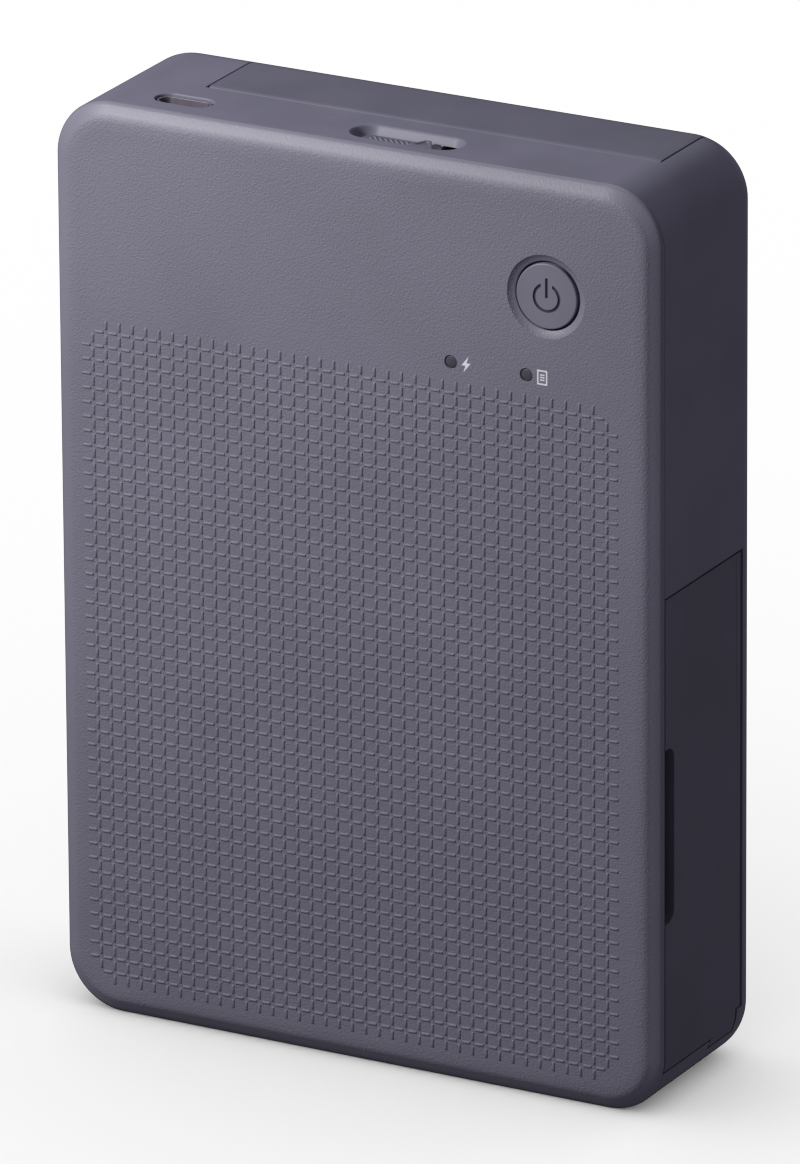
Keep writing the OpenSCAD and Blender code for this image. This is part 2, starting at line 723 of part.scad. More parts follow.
module cross_plate() {
    color("silver") difference() {
        union() {
            box([left_x1, right_x0], [cross_y0, cross_y1], [chassis_z0, body_h - 37.8]);
            for (c = board_screw_cs) post(2, [board_y1, cross_y0 + 0.1], c);
        }
        box([tyre_xs[0] - 1.5, tyre_xs[1] + tyre_w + 1.5], [cross_y0 - 1, cross_y1 + 1],
            [pick_c.y - pick_r - 1, pick_c.y + pick_r + 1]);
        for (c = board_screw_cs) post(board_screw_r + 0.03, [board_y1 - 1, cross_y1 + 1], c);
    }
}
bracket_posts = [motor_c + [8.7, -6.8], reduction_c + [8.7, 10.2]];
module motor_bracket() {
    color("silver") {
        difference() {
            box([bracket_x0, bracket_x1], [motor_c.x - 7.1, motor_c.x + 10.4],
                [motor_c.y - 8.3, reduction_c.y + 12]);
            bar(pin_r + 0.5, [bracket_x0 - 1, bracket_x1 + 1], motor_c);
            bar(pin_r + 0.02, [bracket_x0 - 1, bracket_x1 + 1], reduction_c);
        }
        for (c = bracket_posts) bar(1.5, [bracket_x1, left_x0], c);
    }
}

// Main board with its parts
usb_y = board_y1 + socket_shell.y / 2;
board_step_z = body_h - 19.8;
module main_board() {
    color("darkgreen") difference() {
        union() {
            box([board_x1, board_x2], [board_y0, board_y1], [board_z0, board_z1]);
            box([board_x0, board_x1 + 1], [board_y0, board_y1], [board_step_z, board_z1]);
        }
        for (c = board_screw_cs) post(board_screw_r + 0.1, [board_y0 - 1, board_y1 + 1], c);
    }
}
// Component boxes on the front of the board: [share of its width, share of its height to the box's
// low corner, width, height, thickness]
chips = [[0.5, 0.426, 12, 12, 1.2], [0.75, 0.376, 9, 11, 1], [0.19, 0.25, 14, 11, 1.9],
    [0.164, 0.526, 7, 7, 0.9], [0.276, 0.777, 6, 5, 0.9], [0.638, 0.175, 5, 5, 1.6],
    [0.805, 0.15, 5, 5, 1.6], [0.5, 0.852, 8, 4, 1.1], [0.025, 0.677, 3, 2, 1.2],
    [0.9, 0.276, 4, 8, 1.5]];
module board_components() {
    color("dimgray") for (c = chips) {
        x = board_x1 + c[0] * (board_x2 - board_x1);
        z = board_z0 + c[1] * (board_z1 - board_z0);
        box([x, x + c[2]], [board_y0 - c[4], board_y0], [z, z + c[3]]);
    }
    color("ivory") box([-7, 7], [board_y1, board_y1 + 0.95], [board_z0 + 1, board_z0 + 5]);
}
module board_screws() {
    color("gainsboro") for (c = board_screw_cs)
        translate([c.x, board_y0, c.y]) rotate([-90, 0, 0]) screw(board_screw_r, 2.9, 1.5, 0.9);
}
module chassis_screws() {
    color("gainsboro") for (s = [-1, 1], z = tab_zs)
        translate([screw_xs(s), plate_y1 - sheet, z + tab_h / 2]) rotate([-90, 0, 0])
            screw(screw_r, sheet + pad_l + screw_bite, 1.7, 1.1);
}
module usb_shell() {
    color("silver") translate([socket_x, usb_y, body_h - shell_sunk - shell_l]) difference() {
        linear_extrude(shell_l) stadium(socket_shell);
        translate([0, 0, shell_t]) linear_extrude(shell_l)
            stadium([socket_shell.x - 2 * shell_t, socket_shell.y - 2 * shell_t]);
    }
}
module usb_tongue() {
    color("#202020") translate([socket_x - 3.35, usb_y - 0.35, body_h - shell_sunk - shell_l + shell_t])
        cube([6.7, 0.7, 5.2]);
}
module tact_switch() {
    color("dimgray") box([button_c.x - 2.2, button_c.x + 2.2], [board_y0 - 1.1, board_y0],
        [button_c.y - 2.2, button_c.y + 2.2]);
    color("black") post(1, [board_y0 - 1.4, board_y0 - 1.1], button_c);
}
module indicator_leds() {
    color("ivory") for (c = lens_cs)
        box([c.x - 0.8, c.x + 0.8], [board_y0 - 0.7, board_y0], [c.y - 0.5, c.y + 0.5]);
}
module light_guides() {
    color("#2c2c34") for (c = lens_cs) {
        post(lens_d / 2, [front_y + 0.15, board_y0 - 1.0], c);
        post(lens_d / 2 + 0.6, [parting_y + 0.05, parting_y + 0.6], c);
    }
}

// Battery and motor in the left strip
battery_z0 = corner_r - 3.3;
battery = [battery_w, inner_rear_y - 0.85 - front_y - battery_back, body_h - battery_down - battery_z0];
battery_x0 = left_x0 - 1.6 - battery.x;
battery_y0 = inner_rear_y - 0.85 - battery.y;
module battery_pack() {
    r = 2;
    color("#34507a") translate([battery_x0, battery_y0, battery_z0]) linear_extrude(battery.z) {
        for (x = [r, battery.x - r], y = [r, battery.y - r]) translate([x, y]) circle(r);
        translate([r, 0]) square([battery.x - 2 * r, battery.y]);
        translate([0, r]) square([battery.x, battery.y - 2 * r]);
    }
}
module stepper_motor() {
    color("gray") difference() {
        bar(motor_r, [bracket_x0 - motor_l, bracket_x0], motor_c);
        bar(pin_r + run, [bracket_x0 - 3.2, bracket_x0 + 1], motor_c);
    }
}

// Bearings, pins
module roller_bushes() {
    color("wheat") for (c = bush_cs, side = [0, 1]) {
        x = side == 0 ? [left_x0, left_x1] : [right_x0, right_x1];
        flange = side == 0 ? [left_x1, left_x1 + bush_flange] : [right_x0 - bush_flange, right_x0];
        difference() {
            union() {
                bar(bush_r, x, c);
                bar(bush_r + 0.5, flange, c);
            }
            bar(shaft_r + run, [x[0] - 1, x[1] + 1], c);
        }
    }
}
module idler_pins() {
    color("lightgray") {
        bar(pin_r, [bracket_x0, left_x1], reduction_c);
        for (c = [feed_idler_c, upper_c, lower_c]) bar(pin_r, [layer_a0 - 0.1, left_x1], c);
    }
}
module cover_hinge_pins() {
    color("lightgray") {
        bar(hinge_pin_r, [bay_x0 - ear_t, cover_x0 + hinge_block - 1], [hinge_y, hinge_z]);
        bar(hinge_pin_r, [cover_x1 - hinge_block + 1, bay_x1 + ear_t], [hinge_y, hinge_z]);
    }
}
module flap_hinge_pins() {
    color("lightgray") translate([flap_pin.x, flap_pin.y, 0]) {
        translate([0, 0, flap_z1 - flap_pin_l]) cylinder(r = flap_pin_r, h = 2 * flap_pin_l + gap);
        translate([0, 0, flap_z0 + 0.05]) cylinder(r = flap_pin_r, h = knuckle_z0 - flap_z0 + flap_pin_l);
    }
}

// Cassette: case, paper, pressure plate, springs and film
module case_side(x) {
    prism(x) polygon([[case_y0, case_z0], [case_y1, case_z0], [case_y1, case_z1],
        [take_up_c.x - take_up_r - 0.7, case_z1], [take_up_c.x - take_up_r - 0.7, bridge_z0 + 0.4],
        [rod_high.x - 1.2, bridge_z0 + 0.4], [rod_high.x - 1.2, front_wall_z1],
        [case_y0, front_wall_z1]]);
}
module cassette_case() {
    inner = [case_x0 + case_t, case_x1 - case_t];
    color("#3a3c42") difference() {
        union() {
            case_side([case_x0, inner[0]]);
            case_side([inner[1], case_x1]);
            box([case_x0, case_x1], [case_y0, case_y0 + case_t], [case_z0, front_wall_z1]);
            box([case_x0, case_x1], [case_y1 - case_t, case_y1], [case_z0, rear_wall_z1]);
            box([case_x0, case_x1], [case_y0, case_y1], [case_z0, case_z0 + case_t]);
            box([case_x0, case_x1], [case_y1 - bridge_t, case_y1], [bridge_z0, case_z1]);
            box([case_x0, case_x1], [take_up_c.x - take_up_r - 0.7, case_y1],
                [case_z1 - case_t, case_z1]);
            for (c = [rod_low, rod_high]) bar(rod_r, [case_x0, case_x1], c);
        }
        box([tyre_xs[0] - 1.5, tyre_xs[1] + tyre_w + 1.5], [case_y0 - 1, case_y0 + case_t + 0.1],
            [pick_c.y - pick_r - 1, pick_c.y + pick_r + 1]);
        for (x = [case_x0, case_x1]) {
            bar(journal_r + run, [x - 2, x + 2], supply_c);
            bar((x == case_x0 ? stub_r : journal_r) + run, [x - 2, x + 2], take_up_c);
        }
        box([case_x0 - 1, inner[0] - 0.4], [case_y0 + 4, case_y1 - 4], [case_z0 + 6, rear_wall_z1 - 22]);
        for (i = [0 : 9])
            box([case_x1 - 0.4, case_x1 + 1], [case_y0 + 4, case_y1 - 4],
                [case_z0 + 9 + 4.6 * i, case_z0 + 11 + 4.6 * i]);
    }
}
module paper_stack() {
    color("white") box([case_mid - paper_w / 2, case_mid + paper_w / 2],
        [stack_y0, stack_y0 + stack_t], [stack_z0, stack_z0 + paper_l]);
}
plate_in = 0.6;
pressure_y0 = stack_y0 + stack_t + 0.2;
pressure_t = 0.8;
spring_xs = [case_mid - 18, case_mid + 18];
pressure_spring_z = stack_z0 + 45;
module pressure_plate() {
    color("lightgray") box([case_x0 + case_t + plate_in, case_x1 - case_t - plate_in],
        [pressure_y0, pressure_y0 + pressure_t], [case_z0 + case_t + 0.3, stack_z0 + paper_l - 4]);
}
module pressure_springs() {
    color("gainsboro") for (x = spring_xs)
        translate([x, pressure_y0 + pressure_t, pressure_spring_z]) rotate([-90, 0, 0])
            coil_spring(3, 0.3, case_y1 - case_t - pressure_y0 - pressure_t, 5);
}
function tangent(p, c, r, s) =
    let (d = norm(c - p), a = heading(p, c) + s * asin(r / d), l = sqrt(d * d - r * r))
    p + polar(l, a);
// Angle of the point where a line touches both circles on its left, from a to b
function touch(a, ra, b, rb) = heading(a, b) + acos((ra - rb) / norm(b - a));
film_off = film_t / 2 + 0.06;              // middle of the film, clear of what it runs over
film_y = strip_y0 - film_off;
film_bend = strip_h / 2 + 0.3;
film_low = [film_y, platen_c.y - film_bend];
film_high = [film_y, platen_c.y + film_bend];
film_in = touch(supply_c, supply_r, rod_low, rod_r);
film_out = touch(rod_high, rod_r, take_up_c, take_up_r);
film_path = [supply_c + polar(supply_r + film_off, film_in), rod_low + polar(rod_r + film_off, film_in),
    tangent(film_low, rod_low, rod_r + film_off, -1), film_low, film_high,
    tangent(film_high, rod_high, rod_r + film_off, 1), rod_high + polar(rod_r + film_off, film_out),
    take_up_c + polar(take_up_r + film_off, film_out)];
module ribbon_film() {
    color("#6d3a52") prism([case_mid - film_w / 2, case_mid + film_w / 2])
        for (i = [0 : len(film_path) - 2])
            translate(film_path[i]) rotate(heading(film_path[i], film_path[i + 1]))
                translate([0, -film_t / 2])
                    square([norm(film_path[i + 1] - film_path[i]) + film_t / 2, film_t]);
}

// Flexible cables
cable_t = 0.15;
cable_x = [-6, 6];
cable_end_y = hinge_y - rear_edge_r - gap - 0.3;
module lower_flex_cable() {
    up_y = board_y1 + 0.3;
    color("ivory") {
        box(cable_x, [up_y, cable_end_y], [wall + 0.1, wall + 0.1 + cable_t]);
        box(cable_x, [up_y, up_y + cable_t], [wall + 0.1, board_z0 + 1]);
    }
}
cable_bend_z = rear_wall_z1 + 0.8;
module upper_flex_cable() {
    back = [inner_rear_y - 0.03 - cable_t, inner_rear_y - 0.03];
    front = [pivot_c.x - 0.4, pivot_c.x - 0.4 + cable_t];
    color("ivory") {
        box(cable_x, back, [hinge_z + 6, cable_bend_z + cable_t]);
        box(cable_x, [front[0], back[1]], [cable_bend_z, cable_bend_z + cable_t]);
        box(cable_x, front, [cable_bend_z, head_base - 0.1]);
    }
}

// Rear cover with its top tab, latch arms and hinge blocks
arm_xs = [cover_x0, cover_x1 - arm_w];
block_xs = [cover_x0, cover_x1 - hinge_block];
foot_cs = [for (x = [cover_x0 + foot_side, cover_x1 - foot_side], z = [foot_in, body_h - foot_in]) [x, z]];
module rear_cover() {
    color("#4a4a57") {
        difference() {
            intersection() {
                union() {
                    body_shell();
                    for (x = block_xs) box([x, x + hinge_block], [hinge_y, rear_y], [0, hinge_z]);
                }
                body_solid(0, housing_y);
                union() {
                    box([cover_x0, cover_x1], [tab_y, rear_y], [tab_reach_z, body_h]);
                    box([cover_x0, cover_x1], [round_y, rear_y], [0, body_h]);
                }
            }
            for (x = block_xs) bar(hinge_pin_r + run, [x - 1, x + hinge_block + 1], [hinge_y, hinge_z]);
            for (c = foot_cs) post(foot_d / 2 + 0.02, [rear_y - foot_pocket, rear_y + 1], c);
        }
        for (x = block_xs) difference() {
            bar(hinge_hub_r, [x, x + hinge_block], [hinge_y, hinge_z]);
            bar(hinge_pin_r + run, [x - 1, x + hinge_block + 1], [hinge_y, hinge_z]);
        }
        for (x = arm_xs) {
            box([x, x + arm_w], [tab_y, tab_y + 5], [arm_z0, inner_top_z + lug_reach]);
            box([x, x + arm_w], [boss_y0, tab_y + 1], [arm_z0, arm_z1]);
            box([x, x + arm_w], [boss_y0, boss_y1], [boss_z0, arm_z0 + 0.1]);
        }
    }
}
module rubber_feet() {
    color("#26262a") for (c = foot_cs) post(foot_d / 2, [rear_y - foot_pocket, rear_y + foot_proud], c);
}

// Print head and what carries it on the rear cover
bracket_x = [head_x0 - ear_gap - sheet, head_x0 + head_w + ear_gap + sheet];
bracket_z = [head_base - 1.8, head_top];
module head_bracket() {
    color("silver") {
        box(bracket_x, [bracket_y0, bracket_y1], bracket_z);
        for (x = [bracket_x[0], bracket_x[1] - sheet]) difference() {
            box([x, x + sheet], [pivot_c.x - 2.2, bracket_y0], [pivot_c.y - 2.6, pivot_c.y + 2.6]);
            bar(pivot_r + 0.02, [x - 1, x + sheet + 1], pivot_c);
        }
    }
}
module head_pivot_pin() {
    color("lightgray") bar(pivot_r, [bracket_x[0] - 0.3, bracket_x[1] + 0.3], pivot_c);
}
head_spring_xs = [head_x0 + 14, head_x0 + head_w - 14];
head_spring_z = head_top - 3;
head_spring_gap = 0.3;
module head_springs() {
    color("gainsboro") for (x = head_spring_xs)
        translate([x, head_back + head_spring_gap, head_spring_z]) rotate([-90, 0, 0])
            coil_spring(1.6, 0.2, bracket_y0 - head_back - head_spring_gap, 4);
}
module head_heat_sink() {
    slot_h = 0.9;
    pitch = 1.9;
    color("lightgray") difference() {
        prism([head_x0, head_x0 + head_w])
            polygon([[sink_y0, platen_c.y - strip_h / 2], [sink_y0, platen_c.y + strip_h / 2],
                [sink_y0 + 4.3, head_top], [head_back, head_top], [head_back, pivot_c.y + 5],
                [pivot_c.x + 1.8, pivot_c.y + 2.4], [pivot_c.x + 1.8, head_base],
                [pivot_c.x - 3, head_base], [sink_y0 + 3.8, platen_c.y - 7]]);
        bar(pivot_r + run, [head_x0 - 1, head_x0 + head_w + 1], pivot_c);
        for (i = [0 : 3], z = pivot_c.y + 5.6 + pitch * i)
            box([head_x0 - 1, head_x0 + head_w + 1], [sink_y0 + 2.4 + slot_h * i, head_back + 1],
                [z, z + slot_h]);
    }
}
module thermal_strip() {
    color("#b9b2a0") box([head_x0, head_x0 + head_w], [strip_y0, sink_y0],
        [platen_c.y - strip_h / 2, platen_c.y + strip_h / 2]);
}

// Side flap with its thumb notch
module side_flap() {
    notch_z0 = (flap_z0 + flap_z1 - notch_l) / 2;
    notch_y = parting_y + notch_d + seam;
    color("#3a3a46") difference() {
        union() {
            intersection() {
                body_shell();
                union() {
                    box([corner_x, half_w], [housing_y, tail_y], [flap_z0, flap_z1]);
                    box([corner_x, half_w], [flap_step_y, tail_y], [flap_z0 - flap_step, flap_z1]);
                }
            }
            box([flap_x0, half_w], [tail_y - 0.1, flap_pin.y], [knuckle_z0, flap_z1]);
            translate([flap_pin.x, flap_pin.y, knuckle_z0])
                cylinder(r = wall / 2, h = flap_z1 - knuckle_z0);
        }
        box([corner_x, half_w + 1], [housing_y - 1, notch_y],
            [notch_z0 + notch_r, notch_z0 + notch_l - notch_r]);
        box([corner_x, half_w + 1], [housing_y - 1, notch_y - notch_r],
            [notch_z0, notch_z0 + notch_l]);
        for (z = [notch_z0 + notch_r, notch_z0 + notch_l - notch_r])
            bar(notch_r, [corner_x, half_w + 1], [notch_y - notch_r, z]);
        for (z = [knuckle_z0 - 1, flap_z1 - flap_pin_l - 0.1])
            translate([flap_pin.x, flap_pin.y, z])
                cylinder(r = flap_pin_r + run, h = flap_pin_l + 1.1);
    }
}

// Open switch and latch
nub_back = 2.6;        // nub centre, from the slider's right end
nub_h = 0.8;
nub = [[-2, -1.4], [2, -1.4], [0.5, 1.4], [-0.5, 1.4]];
module switch_slider() {
    top = body_h - recess_depth + 0.2;
    color("#3a3a46") translate([slider_x0 + slider_l / 2, switch_y, 0]) {
        translate([0, 0, bar_z1]) linear_extrude(top - bar_z1) stadium([slider_l, slider_w]);
        translate([slider_l / 2 - nub_back, 0, top - 0.1]) linear_extrude(nub_h + 0.1)
            polygon(nub);
    }
}
finger_w = arm_w + 2 * finger_over;
module latch_finger(x) {
    box([x, x + finger_w], [bar_y0, bar_y1], [finger_z0, bar_z0 + 0.8]);
    box([x, x + finger_w], [bar_y0, finger_y1], [finger_z0, boss_z0 - 0.3]);
    translate([x, boss_y1 + 0.2, finger_z0]) linear_extrude(arm_z0 - 0.2 - finger_z0)
        polygon([[0, 0], [finger_w, 0], [finger_w, finger_y1 - boss_y1 - 0.2], [0, 0.3]]);
}
module latch_bar() {
    color("#2c2c34") {
        box([cover_x0 - finger_over, cover_x1 - 0.6], [bar_y0, bar_y1], [bar_z0, bar_z1]);
        box([slider_x0 - 1, slider_x0 + slider_l + 1],
            [board_y1 + gap, bar_y1], [bar_z0, bar_z1]);
        box([lug_x, lug_x + 1], [bar_y0, bar_y1], [finger_z0 - 0.6, bar_z0 + 0.1]);
        for (x = arm_xs) latch_finger(x - finger_over);
    }
}
module latch_spring() {
    color("gainsboro") translate([lug_x + 1, (bar_y0 + bar_y1) / 2, spring_z]) rotate([0, 90, 0])
        coil_spring(spring_r, 0.15, seat_x - lug_x - 1, 6);
}

// Power button: cap, flange and the stem that presses the switch
module power_symbol() {
    translate([0, -0.2]) difference() {
        circle(2.25);
        circle(1.85);
        translate([-0.9, 0]) square([1.8, 3]);
    }
    translate([-0.2, -0.3]) square([0.4, 3.1]);
}
module power_button() {
    cap_y = front_y + button_sunk;
    flange_y = parting_y + 0.3;
    color("#4e4d5b") {
        difference() {
            union() {
                post(button_d / 2 - 0.25, [cap_y, cap_y + 1], button_c);
                translate([button_c.x, cap_y, button_c.y]) rotate([-90, 0, 0])
                    cylinder(r1 = button_d / 2 - 0.25, r2 = button_d / 2, h = 0.25);
                post(button_d / 2, [cap_y + 0.25, flange_y + 0.1], button_c);
            }
            translate([button_c.x, cap_y + 0.15, button_c.y]) rotate([90, 0, 0])
                linear_extrude(1) power_symbol();
        }
        post(flange_r, [flange_y, flange_y + 0.6], button_c);
        post(1.6, [flange_y + 0.5, board_y0 - 1.4 - button_travel - 0.05], button_c);
    }
}

// Rollers
roller_x = [case_x0 + 0.6, case_x1 - 0.6];
shaft_x = [layer_a0 - 0.1, right_x1 + 0.8];
module platen_shaft() {
    color("lightgray") bar(shaft_r, shaft_x, platen_c);
}
module sleeve(r, x, c) {
    difference() {
        bar(r, x, c);
        bar(shaft_r, [x[0] - 1, x[1] + 1], c);
    }
}
module platen_rubber() {
    color("#2f2f33") sleeve(platen_r, roller_x, platen_c);
}
module platen_gear() {
    color("white") hub_gear(teeth_platen, 0, platen_c, shaft_r);
}
module feed_roller() {
    color("lightgray") {
        bar(feed_r, roller_x, feed_c);
        bar(shaft_r, shaft_x, feed_c);
    }
}
module feed_gear() {
    color("white") hub_gear(teeth_feed, phase_feed, feed_c, shaft_r);
}
module pinch_roller() {
    color("#2f2f33") {
        bar(pinch_r, roller_x, pinch_c);
        bar(pinch_journal_r, [left_x0, right_x1], pinch_c);
    }
}
module pickup_shaft() {
    color("lightgray") bar(shaft_r, shaft_x, pick_c);
}
module pickup_tyres() {
    color("#2f2f33") for (x = tyre_xs) sleeve(pick_r, [x, x + tyre_w], pick_c);
}
module pickup_gear() {
    color("white") hub_gear(teeth_pick, phase_pick, pick_c, shaft_r);
}

// Gear train
module motor_pinion() {
    color("goldenrod") {
        bar(pin_r, [bracket_x0 - 3, layer_b0 + 0.1], motor_c);
        gear(teeth_motor, phase_motor, [layer_b0 - 0.2, layer_b1 + 0.1], motor_c, 0.3);
    }
}
module reduction_gear() {
    color("white") {
        gear(teeth_small, phase_small, [layer_b1 - 0.1, layer_a1], reduction_c, pin_r + run);
        gear(teeth_big, 0, [layer_b0, layer_b1], reduction_c, pin_r + run);
        difference() {
            bar(pin_r + 0.9, [layer_a1 - 0.1, hub_x], reduction_c);
            bar(pin_r + run, [layer_a1 - 1, hub_x + 1], reduction_c);
        }
    }
}
module feed_idler_gear() {
    color("white") hub_gear(teeth_feed_idler, phase_feed_idler, feed_idler_c, pin_r + run);
}
module pickup_upper_idler() {
    color("white") hub_gear(teeth_upper, phase_upper, upper_c, pin_r + run);
}
module pickup_lower_idler() {
    color("white") hub_gear(teeth_lower, phase_lower, lower_c, pin_r + run);
}

// Ribbon spools
stub_r = 1.8;
spool_x = [case_x0 + case_t + 0.3, case_x1 - case_t - 0.3];
wound_x = [case_mid - film_w / 2 - 0.4, case_mid + film_w / 2 + 0.4];
module take_up_gear() {
    color("white") {
        translate([0, take_up_c.x, take_up_c.y]) prism([layer_a0, layer_a1])
            gear_profile(teeth_take_up, phase_take_up);
        bar(stub_r, [layer_a1 - 0.1, spool_x[0]], take_up_c);
    }
}
module spool(wound_r, c, x0) {
    color("#55303f") bar(wound_r, wound_x, c);
    color("#8a8f98") bar(2.6, spool_x, c);
    color("#8a8f98") bar(journal_r, [x0, case_x1], c);
}
module take_up_spool() {
    spool(take_up_r, take_up_c, spool_x[0]);
}
module supply_spool() {
    spool(supply_r, supply_c, case_x0);
}

front_cover();
mid_housing();
left_plate();
right_plate();
cross_plate();
motor_bracket();
main_board();
board_components();
board_screws();
chassis_screws();
usb_shell();
usb_tongue();
tact_switch();
indicator_leds();
light_guides();
battery_pack();
stepper_motor();
roller_bushes();
idler_pins();
cover_hinge_pins();
flap_hinge_pins();
cassette_case();
paper_stack();
pressure_plate();
pressure_springs();
ribbon_film();
lower_flex_cable();
latch_spring();
rear_cover();
rubber_feet();
head_bracket();
head_pivot_pin();
head_springs();
upper_flex_cable();
head_heat_sink();
thermal_strip();
side_flap();
switch_slider();
latch_bar();
power_button();
platen_shaft();
platen_rubber();
platen_gear();
feed_roller();
feed_gear();
pinch_roller();
pickup_shaft();
pickup_tyres();
pickup_gear();
motor_pinion();
reduction_gear();
feed_idler_gear();
pickup_upper_idler();
pickup_lower_idler();
take_up_gear();
take_up_spool();
supply_spool();
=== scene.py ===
"""Looks of a compact photo printer that stands on its short end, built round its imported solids."""

import json
import math

import bmesh
import bpy
from mathutils import Matrix, Vector

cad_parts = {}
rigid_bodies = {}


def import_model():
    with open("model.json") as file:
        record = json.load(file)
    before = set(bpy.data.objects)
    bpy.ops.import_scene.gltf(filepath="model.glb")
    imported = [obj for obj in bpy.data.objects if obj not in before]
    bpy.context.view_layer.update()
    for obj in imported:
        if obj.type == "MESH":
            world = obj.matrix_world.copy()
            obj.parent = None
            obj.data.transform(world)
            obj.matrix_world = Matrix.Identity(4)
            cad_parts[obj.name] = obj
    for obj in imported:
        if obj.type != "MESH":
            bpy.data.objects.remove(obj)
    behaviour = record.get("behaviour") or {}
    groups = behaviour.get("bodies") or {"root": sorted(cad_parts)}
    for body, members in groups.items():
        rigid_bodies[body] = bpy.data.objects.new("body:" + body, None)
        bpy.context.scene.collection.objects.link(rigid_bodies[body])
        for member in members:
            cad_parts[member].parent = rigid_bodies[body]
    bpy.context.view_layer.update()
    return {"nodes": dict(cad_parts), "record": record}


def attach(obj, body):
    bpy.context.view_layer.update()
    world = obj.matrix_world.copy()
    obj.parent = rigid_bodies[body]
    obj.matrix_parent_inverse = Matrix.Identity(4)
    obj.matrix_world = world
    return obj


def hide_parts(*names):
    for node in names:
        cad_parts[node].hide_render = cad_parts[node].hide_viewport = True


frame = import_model()

MM = 0.001

# Sizes in millimetres: X is the width, Y the depth from front to rear, Z the height.

# Body
HALF_W = 51.1
HEIGHT = 145.8
FRONT = -16.65
REAR = 16.25
CORNER = 9.3
REAR_R = 5.65
ROUND_Y = REAR - REAR_R
WALL = 1.8
GAP = 0.3
BEYOND = 60  # past the body on every side of its middle
BELOW, ABOVE = -10, 160

# Front cover: its face, the depth of its rim and the parting face towards the housing
RIB_HEIGHT = 0.19
FACE = FRONT + RIB_HEIGHT
SKIRT = -14.45
PARTING = -14.85
COVER_INSET = 0.04
RIM_ACROSS = 4.15
RIM_TURNS = [(1.1, 1, 8), (0.95, 8, 33), (1.6, 33, 40), (0.85, 40, 86)]
RIB_PITCH, RIB_LENGTH, RIB_WIDTH = 2.29, 1.52, 0.54

# Power button and indicators: x and z of their middles
BUTTON = (32.42, 127.3)
BUTTON_R = 5.06
BUTTON_TOP = FRONT + 0.4
HOLE_R = 5.4
DISH_R = 6.5
LENSES = ((16.46, 114.65), (29.1, 114.65))
LENS_HOLE_R, LENS_R = 1.06, 0.95

# Housing, with the bay that the rear cover lies in
HOUSING = -14.43
BAY_X = (-32.7, 43.9)
SLIT_Y = -2.225

# Rear cover: its tab reaches over the top, and it turns on an axis along X
COVER_X = (-32.4, 43.6)
TAB_Y = -1.575
TAB_LOW = HEIGHT - 3 * REAR_R
HINGE = (ROUND_Y, REAR_R)
FEET = [(x, z) for x in (-26, 37.2) for z in (13, 132.8)]

# Side flap, cut from the right wall: behind STEP_Y it reaches down to STEP_LOW
FLAP_X = (41.8, 53)
FLAP_REAR = 8.5
FLAP_Z = (7.1, 82.2)
STEP_Y, STEP_LOW = 1.1, 5.7
FLAP_PIN = (50.2, 9.7)
PIN_LOW = 9.4

# Open switch and socket, both in the top
SWITCH_Y = -9.2
RECESS = (-4.0, 15.0)
SLIDER = (-2.8, 10.9)
SOCKET = (-32.3, -9.25)


# ---------------------------------------------------------------- modelling


def select_nothing():
    if bpy.context.object and bpy.context.object.mode != "OBJECT":
        bpy.ops.object.mode_set(mode="OBJECT")
    bpy.ops.object.select_all(action="DESELECT")


def make_active(piece):
    """Leaves the piece chosen on its own."""
    select_nothing()
    piece.select_set(True)
    bpy.context.view_layer.objects.active = piece


def settle(name):
    """Names the new primitive and puts its place into its mesh."""
    piece = bpy.context.object
    piece.name = name
    piece.data.name = name
    bpy.ops.object.transform_apply(location=True, rotation=True, scale=True)
    return piece


def block(name, x, y, z):
    """A block between two x, y and z values, in millimetres."""
    select_nothing()
    centre = [MM * (a[0] + a[1]) / 2 for a in (x, y, z)]
    bpy.ops.mesh.primitive_cube_add(size=1, location=centre)
    bpy.context.object.scale = [MM * (a[1] - a[0]) for a in (x, y, z)]
    return settle(name)


def plate(name, corners, y):
    """A flat plate between two depths, with its corners given as x and z in turn."""
    select_nothing()
    bpy.ops.mesh.primitive_circle_add(vertices=len(corners), radius=1, fill_type="NGON")
    piece = settle(name)
    mesh = piece.data
    for point, (x, z) in zip(mesh.vertices, corners):
        point.co = (MM * x, MM * y[1], MM * z)
    with Edit(piece):
        bpy.ops.mesh.select_all(action="SELECT")
        bpy.ops.mesh.extrude_region_move(TRANSFORM_OT_translate={"value": (0, MM * (y[0] - y[1]), 0)})
        bpy.ops.mesh.select_all(action="SELECT")
        bpy.ops.mesh.normals_make_consistent(inside=False)
    return piece


def rod(name, radius, span, axis, at, sides=64):
    """A round bar along an axis over a span, at its place in the other two axes."""
    select_nothing()
    middle, length = MM * (span[0] + span[1]) / 2, MM * (span[1] - span[0])
    place = {
        "X": (middle, MM * at[0], MM * at[1]),
        "Y": (MM * at[0], middle, MM * at[1]),
        "Z": (MM * at[0], MM * at[1], middle),
    }[axis]
    turn = {"X": (0, math.pi / 2, 0), "Y": (-math.pi / 2, 0, 0), "Z": (0, 0, 0)}[axis]
    bpy.ops.mesh.primitive_cone_add(
        vertices=sides,
        radius1=MM * radius,
        radius2=MM * radius,
        depth=length,
        location=place,
        rotation=turn,
    )
    return settle(name)


